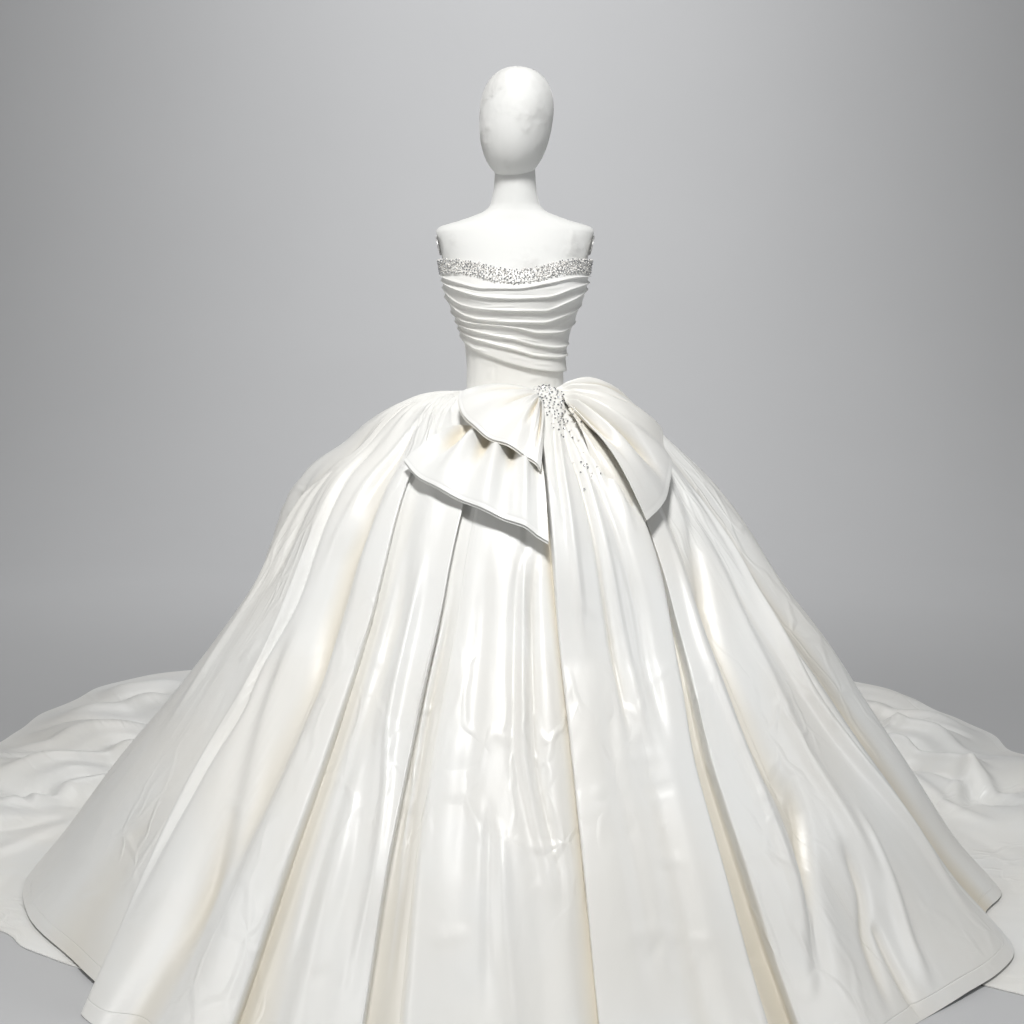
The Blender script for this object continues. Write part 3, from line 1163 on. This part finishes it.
# %% Pearls and crystals
def pearl_finish():
    pearl = Finish("pearl", Coat_Weight=0.4, Specular_IOR_Level=0.6)
    lustre = pearl.noise(pearl.place(), 320, 2)
    colour = pearl.blend(lustre, (0.86, 0.83, 0.79, 1), (0.93, 0.92, 0.9, 1))
    return pearl.feed(Base_Color=colour, Roughness=0.16 + 0.12 * lustre)


def crystal_finish():
    crystal = Finish("crystal", Metallic=0.75)
    flash = crystal.noise(crystal.place(), 700, 1)
    colour = crystal.blend(flash.between(0.42, 0.62), (0.30, 0.32, 0.34, 1), (0.95, 0.96, 0.98, 1))
    return crystal.feed(Base_Color=colour, Roughness=0.05 + 0.1 * flash)


PEARL = pearl_finish()
CRYSTAL = crystal_finish()


def scatter_tree(name, bead_node, bead_inputs, finish):
    """Geometry Nodes that set beads on a surface, with its sizes as named inputs."""
    tree = bpy.data.node_groups.new(name, "GeometryNodeTree")
    tree.interface.new_socket("Geometry", in_out="INPUT", socket_type="NodeSocketGeometry")
    for label in ("Gap", "Density", "Smallest", "Largest", "Lift"):
        tree.interface.new_socket(label, in_out="INPUT", socket_type="NodeSocketFloat")
    tree.interface.new_socket("Seed", in_out="INPUT", socket_type="NodeSocketInt")
    tree.interface.new_socket("Geometry", in_out="OUTPUT", socket_type="NodeSocketGeometry")

    def node(kind, inputs, **settings):
        made = tree.nodes.new(kind)
        for setting, value in settings.items():
            setattr(made, setting, value)
        for label, value in inputs.items():
            if isinstance(value, bpy.types.NodeSocket):
                tree.links.new(value, made.inputs[label])
            else:
                made.inputs[label].default_value = value
        return made.outputs

    given = node("NodeGroupInput", {})
    share = node("GeometryNodeInputNamedAttribute", {"Name": "bead_share"}, data_type="FLOAT")
    points = node("GeometryNodeDistributePointsOnFaces", {
        "Mesh": given["Geometry"], "Distance Min": given["Gap"], "Density Max": given["Density"],
        "Density Factor": share["Attribute"], "Seed": given["Seed"],
    }, distribute_method="POISSON")
    bead = node(bead_node, bead_inputs)
    size = node("FunctionNodeRandomValue", {
        2: given["Smallest"], 3: given["Largest"], "Seed": given["Seed"],
    }, data_type="FLOAT")
    raised = node(
        "ShaderNodeVectorMath", {0: points["Normal"], "Scale": given["Lift"]}, operation="SCALE")
    lifted = node("GeometryNodeSetPosition", {"Geometry": points["Points"], "Offset": raised["Vector"]})
    placed = node("GeometryNodeInstanceOnPoints", {
        "Points": lifted["Geometry"], "Instance": bead["Mesh"],
        "Rotation": points["Rotation"], "Scale": size[1],
    })
    real = node("GeometryNodeRealizeInstances", {"Geometry": placed["Instances"]})
    dressed = node("GeometryNodeSetMaterial", {"Geometry": real["Geometry"], "Material": finish})
    node("NodeGroupOutput", {"Geometry": dressed["Geometry"]})
    return tree


PEARL_TREE = scatter_tree(
    "pearls", "GeometryNodeMeshUVSphere", {"Segments": 8, "Rings": 6, "Radius": 1.0}, PEARL)
CRYSTAL_TREE = scatter_tree(
    "crystals", "GeometryNodeMeshIcoSphere", {"Radius": 1.0, "Subdivisions": 1}, CRYSTAL)


def scattered(name, carrier, tree, **inputs):
    """Beads over a carrier, made a plain mesh."""
    holder = add_object(name, carrier.data.copy())
    modifier = holder.modifiers.new("beads", "NODES")
    modifier.node_group = tree
    for item in tree.interface.items_tree:
        if item.in_out == "INPUT" and item.name in inputs:
            modifier[item.identifier] = inputs[item.name]
    graph = bpy.context.evaluated_depsgraph_get()
    mesh = bpy.data.meshes.new_from_object(holder.evaluated_get(graph))
    bpy.data.objects.remove(holder)
    mesh.name = name
    if tree is PEARL_TREE:
        mesh.shade_smooth()
    return add_object(name, mesh)


BAND = {"reach": 96, "columns": 161, "rows": 9, "drop": 24, "rise": 2, "net": 1.2, "lap": 2.5}
BAND_SEAT = 2 * CLOTH + RUCHING["clear"] + 2 * SEAM


def neckline_band():
    degrees = np.linspace(-BAND["reach"], BAND["reach"], BAND["columns"])[None, :]
    t = np.linspace(0, 1, BAND["rows"])[:, None]
    scallop = 1.6 * np.sin(0.9 * degrees) + 1.1 * np.sin(1.7 * degrees + 1)
    low = neckline_z(degrees) - BAND["drop"] + 0.5 * scallop
    high = neckline_z(degrees) + BAND["rise"]
    z = lerp(low, high, t)
    outer = bodice_point(degrees, z, BAND_SEAT + BAND["net"])
    inner = bodice_point(degrees, z, BAND_SEAT)
    return cloth_wall("neckline_net", outer, inner, BODICE_SATIN, flat_uv(outer)), outer


def bead_carrier(name, grid, share):
    """A sheet of points that the beads are scattered on, with how densely each point is beaded."""
    sheet = link_mesh(name, grid.reshape(-1, 3), grid_quads(*grid.shape[:2]), BODICE_SATIN)
    write_values(sheet, "bead_share", share)
    return sheet


pieces["neckline_band"], net_grid = neckline_band()
lap = np.linspace(-BAND["lap"], BAND["lap"], BAND["rows"])[:, None, None] * np.array([0, 0, 1])
carrier = bead_carrier("bead_carrier", net_grid + lap, np.ones(net_grid.shape[:2]))
neck_pearls = scattered("neckline_pearls", carrier, PEARL_TREE, Gap=0.0039, Density=80000.0,
                        Smallest=0.0014, Largest=0.0026, Lift=0.001, Seed=3)
neck_crystals = scattered("neckline_crystals", carrier, CRYSTAL_TREE, Gap=0.0052, Density=50000.0,
                          Smallest=0.0013, Largest=0.0023, Lift=0.0024, Seed=8)
bpy.data.objects.remove(carrier)
print("neckline beads", len(neck_pearls.data.polygons), len(neck_crystals.data.polygons), "faces")

# %% [markdown]
# The bow is made of fans of cloth: every ray starts at the knot and ends on the outer edge. The skirt panel
# beside it is gathered into the same knot, so all the creases run out from one place.

# %% Bow shapes
KNOT = {"azimuth": 14.5, "from": 96, "to": 226, "half_width": 24, "thickness": 16, "seat": 2 * SEAM,
        "power": 2.6, "ridges": 9, "ridge": 1.2, "sink_from": 140, "sink": 7, "flatten": 0.7}


def knot_half_width(down):
    t = (down - KNOT["from"]) / (KNOT["to"] - KNOT["from"])
    power = KNOT["power"]
    return KNOT["half_width"] * np.maximum(1 - np.abs(2 * t - 1) ** power, 0) ** (1 / power)


def knot_radius(down):
    point = skirt_point(KNOT["azimuth"], down, 0.0)
    return np.hypot(point[..., 0], point[..., 1])


def highest_cloth(azimuth, reach, down):
    """The highest cloth of the skirt within some degrees of an azimuth, at each distance down."""
    highest = []
    for depth in np.atleast_1d(down):
        row = int(np.clip(round(float(depth) / HEM * (len(row_downs) - 1)), 0, len(row_downs) - 1))
        near = np.abs(azimuths[row] - azimuth) <= reach
        highest.append(reliefs[row][near].max())
    return np.array(highest)


def knot_seat(down):
    reach = math.ceil(math.degrees(KNOT["half_width"] / float(np.min(knot_radius(down)))))
    return highest_cloth(KNOT["azimuth"], reach, down) + KNOT["seat"]


LEFT_FLAP = {
    "root": (138, 192), "puff": 16,
    "rays": [
        # outer end: azimuth, distance down, lift off the skirt, ripple
        (-25, 143, 40, 0), (-21.5, 188, 46, 5), (-18, 224, 50, -3), (-12.5, 262, 52, 6), (-7.5, 294, 54, -2),
        (-2, 318, 54, 6), (2.5, 340, 52, -3), (5, 356, 50, 0), (6.4, 368, 51, -10),
    ],
    "creases": [
        # ray, half width in rays, height, where it dies out along the ray
        (0.9, 0.3, -5, 0.9), (1.9, 0.28, 4, 0.75), (2.9, 0.3, -7, 0.8), (4.1, 0.35, 5, 0.7),
        (5.2, 0.22, -10, 0.75), (6.0, 0.26, 7, 0.8), (6.8, 0.2, -10, 0.98), (7.5, 0.2, 6, 0.9),
    ],
}
RIGHT_LOOP = {
    "root": (128, 196), "puff": 26,
    "rays": [
        (52, 130, 30, 0), (59, 172, 34, 6), (60.5, 220, 34, -4), (59, 262, 34, 6), (53, 309, 34, -4),
        (48.5, 358, 34, 8), (43, 408, 34, -4), (36, 454, 38, 5), (29, 490, 52, 0),
    ],
    "creases": [
        (0.7, 0.3, 6, 0.7), (1.35, 0.2, -15, 1.1), (2.0, 0.3, 10, 0.8), (2.75, 0.22, -17, 0.95),
        (3.5, 0.35, 9, 0.7), (4.4, 0.22, -12, 0.7), (5.2, 0.35, 9, 0.8), (6.0, 0.24, -18, 1.0),
        (6.7, 0.3, 10, 0.85), (7.4, 0.22, -10, 0.7),
    ],
}
ROLLED_EDGE = [0.955, 0.965, 0.975, 0.985, 0.993, 1.0]
EDGE_STITCH = {"at": 0.965, "half_width": 0.007, "depth": 0.6}
CREASE_DEPTH = 1.4
BOW_HOLLOW = {"depth": 14, "under_loop": 0.3, "under_tail": 0.6}


def down_the_ray(rows, reach):
    """Places along a ray. A layer that runs to the edge has more of them there, to round it."""
    if reach[1] != 1.0:
        return np.linspace(*reach, rows)[:, None]
    return np.concatenate([np.linspace(reach[0], 0.945, rows), ROLLED_EDGE])[:, None]


def edge_stitches(u):
    return EDGE_STITCH["depth"] * np.exp(-(((u - EDGE_STITCH["at"]) / EDGE_STITCH["half_width"]) ** 2))


def fan(shape, side, columns, rows, drop=0.0, reach=(0.0, 1.0)):
    """A grid of rays from the knot to the outer edge, in millimetres, with its creases and rolled edge."""
    rays = np.array(shape["rays"], float)
    last = len(rays) - 1
    fine = np.linspace(0, last, columns)
    azimuth, down, height, ripple = through(np.arange(last + 1), rays, fine).T
    root_down = lerp(shape["root"][0], shape["root"][1], fine / last)
    beside = knot_half_width(root_down) + SEAM / 2
    root_azimuth = KNOT["azimuth"] + side * np.degrees(beside / knot_radius(root_down))
    high = KNOT["thickness"] * knot_half_width(root_down) / KNOT["half_width"]
    root_lift = knot_seat(root_down) + high / 2 + CLOTH / 2
    u = down_the_ray(rows, reach)
    relief = shape["puff"] * np.sin(np.pi * u) + ripple * np.sin(np.pi * u / 1.4)
    creased = np.zeros((len(u), columns))
    for ray, width, depth, fades in shape["creases"]:
        along = smoothstep(0, 0.12, u) * (1 - smoothstep(0.4 * fades, fades, u))
        creased += CREASE_DEPTH * depth * np.exp(-(((fine - ray) / width) ** 2)) * along
    lift = lerp(root_lift, height, u) + relief + creased - edge_stitches(u) - drop
    grid = skirt_point(lerp(root_azimuth, azimuth, u), lerp(root_down, down, u), lift)
    shade = BOW_HOLLOW["under_loop"] * min(drop, 1)
    return grid, np.clip(shade - creased / BOW_HOLLOW["depth"], 0, 1)


def facing_out(grid, hollow):
    middle = grid.shape[0] // 2, grid.shape[1] // 2
    outward = grid[middle] * np.array([1, 1, 0])
    if unit_normals(grid)[middle] @ outward > 0:
        return grid, hollow
    return grid[:, ::-1], hollow[:, ::-1]


def joined(name, parts):
    """Several meshes of one piece, made one object."""
    first = parts[0]
    chosen = {"active_object": first, "selected_editable_objects": parts, "selected_objects": parts}
    with bpy.context.temp_override(**chosen):
        bpy.ops.object.join()
    first.name = name
    return first


def bow_piece(name, *grids):
    layers = []
    for grid, hollow in grids:
        grid, hollow = facing_out(grid, hollow)
        layers.append(shell(name + "_layer", grid, BOW_SATIN, CLOTH))
        tint_hollows(layers[-1], hollow)
    piece = joined(name, layers) if len(layers) > 1 else layers[0]
    piece.name = name
    print(name, round(cloth_area(piece), 3), "m2")
    return piece


# %% [markdown]
# The flap and the loop are double cloth, bagged out and pressed. A second layer lies a few millimetres
# under the first and shows as a fine line along its edge. The loop's lower layer slipped further out.

# %% Flap and loop
UNDER_LOOP = {
    "root": (150, 204), "puff": 14, "creases": [],
    "rays": [
        (47, 352, 22, 0), (42.5, 400, 22, 0), (36.5, 444, 24, 0), (31, 480, 30, 0), (28.6, 491, 36, 0),
        (26.6, 462, 38, 0), (24.4, 420, 40, 0), (22.2, 372, 44, 0), (20.6, 330, 46, 0),
    ],
}
pieces["bow_left_flap"] = bow_piece(
    "bow_left_flap_satin", fan(LEFT_FLAP, -1, 100, 52), fan(LEFT_FLAP, -1, 100, 8, 4.0, (0.84, 1.012)))
pieces["bow_right_loop"] = bow_piece(
    "bow_right_loop_satin", fan(RIGHT_LOOP, 1, 110, 60), fan(UNDER_LOOP, 1, 80, 26, 3.0, (0.1, 0.999)))

# %% [markdown]
# The tail hangs from under the flap. It is gathered there, so deep rounded ruffles stand side by side at
# its top and flatten into a plain hem.

# %% Bow tail
TAIL = {
    "under": (-5.5, 13), "lift": 34, "puff": 12, "deepen": 1.5,
    "ripple_stops": (0, 0.33, 0.67, 1), "ripple_shares": (0, 1, 0.55, 0.2),
    "gathers": [
        # azimuth at the top, azimuth and distance down at the lower edge, ripple
        (-18.5, -30.8, 345, 4), (-15.5, -25, 378, -10), (-11.5, -19, 402, 11), (-7.5, -13, 425, -10),
        (-3.8, -7.5, 446, 11), (-0.2, -2.5, 466, -9), (3.2, 2, 484, 9), (5.6, 4.8, 503, -6),
        (7.6, 6.8, 516, -4),
    ],
    "creases": [
        # gather, half width, height, middle along the gather, half length
        (1.6, 0.22, -3, 0.6, 0.25), (2.9, 0.25, 3, 0.7, 0.2), (4.6, 0.25, -3.5, 0.62, 0.22),
        (5.3, 0.2, 2.5, 0.75, 0.18), (6.4, 0.2, -2.5, 0.55, 0.3), (0.7, 0.25, 2.5, 0.7, 0.25),
    ],
}


def tail_grid(columns, rows, drop=0.0, reach=(0.0, 1.0)):
    gathers = np.array(TAIL["gathers"], float)
    last = len(gathers) - 1
    fine = np.linspace(0, last, columns)
    top_azimuth, azimuth, down, ripple = through(np.arange(last + 1), gathers, fine).T
    u = down_the_ray(rows, reach)
    top_down = DOWN[3]
    top_lift = highest_cloth(*TAIL["under"], top_down)[0] + CLOTH
    wave = TAIL["deepen"] * ripple * through(TAIL["ripple_stops"], TAIL["ripple_shares"], u[:, 0])[:, None]
    relief = wave + TAIL["puff"] * np.sin(np.pi * u)
    for gather, width, depth, middle, length in TAIL["creases"]:
        relief = relief + depth * np.exp(-(((fine - gather) / width) ** 2) - ((u - middle) / length) ** 2)
    lift = lerp(top_lift, TAIL["lift"], np.sqrt(u)) + relief - edge_stitches(u) - drop
    grid = skirt_point(lerp(top_azimuth, azimuth, u), lerp(top_down, down, u), lift)
    shade = 0.9 - 2.2 * u - wave / BOW_HOLLOW["depth"] + BOW_HOLLOW["under_tail"] * min(drop, 1)
    return grid, np.clip(shade, 0, 1) * (1 - 0.5 * smoothstep(0.5, 0.9, u))


pieces["bow_left_tail"] = bow_piece(
    "bow_left_tail_satin", tail_grid(110, 56), tail_grid(110, 8, 4.0, (0.84, 1.012)))

# %% [markdown]
# There is no tied knot to see: the folds are pinched together and sewn down, and the beads hide the
# stitches. So the knot is a low oval with ridges, and its low end sinks into the panel under it.

# %% Bow knot
def knot_piece():
    downs_along = np.linspace(KNOT["to"] - 1, KNOT["from"] + 1, 60)
    angles = np.radians(np.arange(0, 360, 5.0))
    half = knot_half_width(downs_along)[:, None]
    high = KNOT["thickness"] * half / KNOT["half_width"]
    down = downs_along[:, None] + 0 * angles[None, :]
    degrees = KNOT["azimuth"] + np.degrees(half * np.sin(angles) / knot_radius(down))
    ridge = KNOT["ridge"] * np.cos(KNOT["ridges"] * angles + 0.012 * down) * np.maximum(np.cos(angles), 0)
    low_end = smoothstep(KNOT["sink_from"], KNOT["to"], down)
    lift = high / 2 * (1 + np.cos(angles)) + ridge * half / KNOT["half_width"]
    lift = lift * (1 - KNOT["flatten"] * low_end) - KNOT["sink"] * low_end
    rings = skirt_point(degrees, down, knot_seat(downs_along)[:, None] + lift)
    return ring_stack("bow_knot_satin", rings, BOW_SATIN, flat_map=True)


pieces["bow_knot"] = knot_piece()
print("knot", round(KNOT["to"] - KNOT["from"]), "mm long")

# %% [markdown]
# Pearls and crystals crowd on the knot and thin out down the panel, as if they had been let fall. A net of
# points is dropped on to whatever cloth lies on top there, and the same Geometry Nodes scatter over it.

# %% Bead spray
SPRAY = {
    # azimuth, distance down, share of beads
    "axis": [(13.5, 118, 0.55), (14.3, 150, 1.0), (14.8, 190, 1.0), (15.8, 230, 0.8), (17.2, 280, 0.3),
             (18.6, 330, 0.14), (19.6, 380, 0.07), (20.2, 430, 0.02)],
    "half_width": [(118, 4.5), (160, 6.5), (230, 5.0), (300, 3.4), (430, 3.2)],
    "drop_from": 160.0, "drop_to": -20.0,
    "lands_on": ("bow_knot", "bow_left_flap", "bow_right_loop", "skirt_front_right", "skirt_front"),
}


def spray_carrier():
    axis = np.array(SPRAY["axis"])
    width = np.array(SPRAY["half_width"])
    down = np.linspace(axis[0, 1], axis[-1, 1], 90)
    across = np.linspace(-1, 1, 41)
    middle = np.interp(down, axis[:, 1], axis[:, 0])
    half = np.interp(down, width[:, 0], width[:, 1])
    degrees = middle[:, None] + half[:, None] * across
    depth = down[:, None] + 0 * degrees
    outside = skirt_point(degrees, depth, SPRAY["drop_from"]) * MM
    inside = skirt_point(degrees, depth, SPRAY["drop_to"]) * MM
    graph = bpy.context.evaluated_depsgraph_get()
    tops = [BVHTree.FromObject(pieces[node], graph) for node in SPRAY["lands_on"]]
    points = np.zeros_like(outside)
    for r in range(outside.shape[0]):
        for c in range(outside.shape[1]):
            begin, end = Vector(outside[r, c]), Vector(inside[r, c])
            hits = [tree.ray_cast(begin, (end - begin).normalized(), 0.25) for tree in tops]
            found = [hit for hit in hits if hit[0] is not None]
            points[r, c] = min(found, key=lambda hit: hit[3])[0] if found else end
    share = np.interp(down, axis[:, 1], axis[:, 2])[:, None] * (1 - 0.75 * across**2)
    side_step = np.linalg.norm(np.gradient(points, axis=1), axis=2)
    steepness = side_step / np.median(side_step, axis=1, keepdims=True)
    return points[::-1] / MM, (share / np.maximum(steepness, 0.6) ** 1.5)[::-1]


spray = bead_carrier("spray_carrier", *spray_carrier())
spray_pearls = scattered("spray_pearls", spray, PEARL_TREE, Gap=0.0052, Density=16000.0,
                         Smallest=0.0013, Largest=0.0022, Lift=0.0008, Seed=5)
spray_crystals = scattered("spray_crystals", spray, CRYSTAL_TREE, Gap=0.0062, Density=30000.0,
                           Smallest=0.0017, Largest=0.0028, Lift=0.0014, Seed=14)
bpy.data.objects.remove(spray)
print("spray", len(spray_pearls.data.polygons), len(spray_crystals.data.polygons), "faces")

# %% [markdown]
# The form is rounder than its packed solid, so its torso and head are made again from the same sections
# with many more faces, and the plates and stand keep their own solids.

# %% Form
HEAD = {"z": 1696, "x": 1, "y": -14, "half_height": 120, "half_width": 80, "half_depth": 96,
        "power": 2.35, "crown": 0.12, "roll": 5.5, "pitch": -6}
ARMHOLE = {"x": 175, "z": 1462, "lean": 0.22, "bottom": 1340}


def form_torso():
    z = np.unique(np.concatenate([np.arange(840, 1625, 5.0), TORSO[:, 0]]))[:, None]
    degrees = np.arange(0, 360, 3.0)[None, :]
    rings = torso_point(degrees, z + 0 * degrees, 0)
    limit = np.where(z > ARMHOLE["bottom"], ARMHOLE["x"] - ARMHOLE["lean"] * (ARMHOLE["z"] - z), 1e3)
    rings[..., 0] = np.clip(rings[..., 0], -limit, limit)
    return ring_stack("form_torso_cover", rings, FORM_CLOTH)


def turned(points, degrees, axis):
    c, s = math.cos(math.radians(degrees)), math.sin(math.radians(degrees))
    table = {"x": [[1, 0, 0], [0, c, -s], [0, s, c]], "y": [[c, 0, s], [0, 1, 0], [-s, 0, c]]}[axis]
    return points @ np.array(table).T


def form_head():
    up = -np.cos(np.linspace(0.03, math.pi - 0.03, 60))[:, None]
    angle = np.radians(np.arange(0, 360, 4.0))[None, :]
    girth = (1 - np.abs(up) ** HEAD["power"]) ** (1 / HEAD["power"]) * (1 + HEAD["crown"] * up)
    rings = np.stack(np.broadcast_arrays(
        HEAD["half_width"] * girth * np.sin(angle),
        -HEAD["half_depth"] * girth * np.cos(angle),
        HEAD["half_height"] * up + 0 * angle,
    ), axis=-1)
    rings = turned(turned(rings, HEAD["pitch"], "x"), HEAD["roll"], "y")
    return ring_stack("form_head_cover", rings + np.array([HEAD["x"], HEAD["y"], HEAD["z"]]), FORM_CLOTH)


pieces["form_torso"] = form_torso()
pieces["form_head"] = form_head()
for node, finish in (("form_armhole_left", PLATE), ("form_armhole_right", PLATE),
                     ("stand_base", POWDER_COAT), ("stand_pole", POWDER_COAT)):
    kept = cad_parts[node]
    kept.data.materials.clear()
    kept.data.materials.append(finish)
print("form covered")

# %% [markdown]
# Every piece says which solid it stands for, which finish it takes, and, if it is cloth, how large it was
# cut before it was sewn.

# %% Say what each piece is
CUTS = {
    # node: flat width and length, flat area where the cut is a wedge, how it is held, what it rests on
    "skirt_front": (0.42, 1.52, 0.35, "hung", "bodice_front_satin"),
    "skirt_front_left": (0.95, 1.52, 0.85, "hung", "bodice_front_satin"),
    "skirt_front_right": (0.9, 1.52, 0.75, "hung", "bodice_front_satin"),
    "skirt_side_left": (1.3, 1.52, 1.1, "hung", "bodice_front_satin"),
    "skirt_side_right": (1.3, 1.52, 1.2, "hung", "bodice_front_satin"),
    "skirt_back_left": (1.7, 1.55, 1.5, "hung", "bodice_back_left_satin"),
    "skirt_back_right": (1.7, 1.55, 1.5, "hung", "bodice_back_right_satin"),
    "train_left": (3.6, 1.6, 3.0, "laid", "skirt_back_left_satin"),
    "train_right": (3.5, 1.6, 2.8, "laid", "skirt_back_right_satin"),
    "bodice_front": (0.4, 0.28, None, "stretched", "form_torso_cover"),
    "bodice_back_left": (0.2, 0.27, None, "stretched", "form_torso_cover"),
    "bodice_back_right": (0.2, 0.27, None, "stretched", "form_torso_cover"),
    "bodice_drape": (0.4, 0.3, None, "gathered", "bodice_front_satin"),
    "neckline_band": (0.46, 0.027, None, "laid", "ruched_overlay"),
    "bow_left_flap": (0.25, 0.2, None, "gathered", "bow_knot_satin"),
    "bow_right_loop": (0.5, 0.3, 0.12, "gathered", "bow_knot_satin"),
    "bow_left_tail": (0.3, 0.25, None, "hung", "bow_knot_satin"),
}
for node, piece in pieces.items():
    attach(piece, "root")
    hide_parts(node)
for beads in (neck_pearls, neck_crystals, spray_pearls, spray_crystals):
    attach(beads, "root")
for node, (width, length, area, held, rests_on) in CUTS.items():
    measured = cloth_area(pieces[node])
    print(node, "measured", round(measured, 3), "share", round(measured / (area or width * length), 2))
    beads = [neck_pearls, neck_crystals] if node == "neckline_band" else ()

# %% [markdown]
# The studio floor is a sweep: it runs back and turns up in one curve, so no line shows behind the gown.

# %% Floor
SWEEP = {"half_width": 14, "front": -9, "turn": 5.0, "radius": 4.0, "top": 12, "steps": 40, "under": 0.0005}


def studio_sweep():
    bend = np.radians(np.linspace(0, 90, SWEEP["steps"]))
    turn, radius = SWEEP["turn"], SWEEP["radius"]
    y = np.concatenate([[SWEEP["front"]], turn + radius * np.sin(bend), [turn + radius]])
    z = np.concatenate([[0], radius * (1 - np.cos(bend)), [SWEEP["top"]]]) - SWEEP["under"]
    across = np.linspace(-SWEEP["half_width"], SWEEP["half_width"], 3)
    points = np.stack(np.broadcast_arrays(across[None, :], y[:, None], z[:, None]), axis=2) / MM
    return link_mesh("floor", points.reshape(-1, 3), grid_quads(*points.shape[:2]), STUDIO_FLOOR)


print("faces of all pieces", sum(len(piece.data.polygons) for piece in pieces.values()))
studio_sweep()
print("studio floor ready")

# %% [markdown]
# Last, the box round the packed model and the box round the dressed one are written side by side. They
# should agree to a few millimetres, or the cloth has grown past the gown it was cut for.
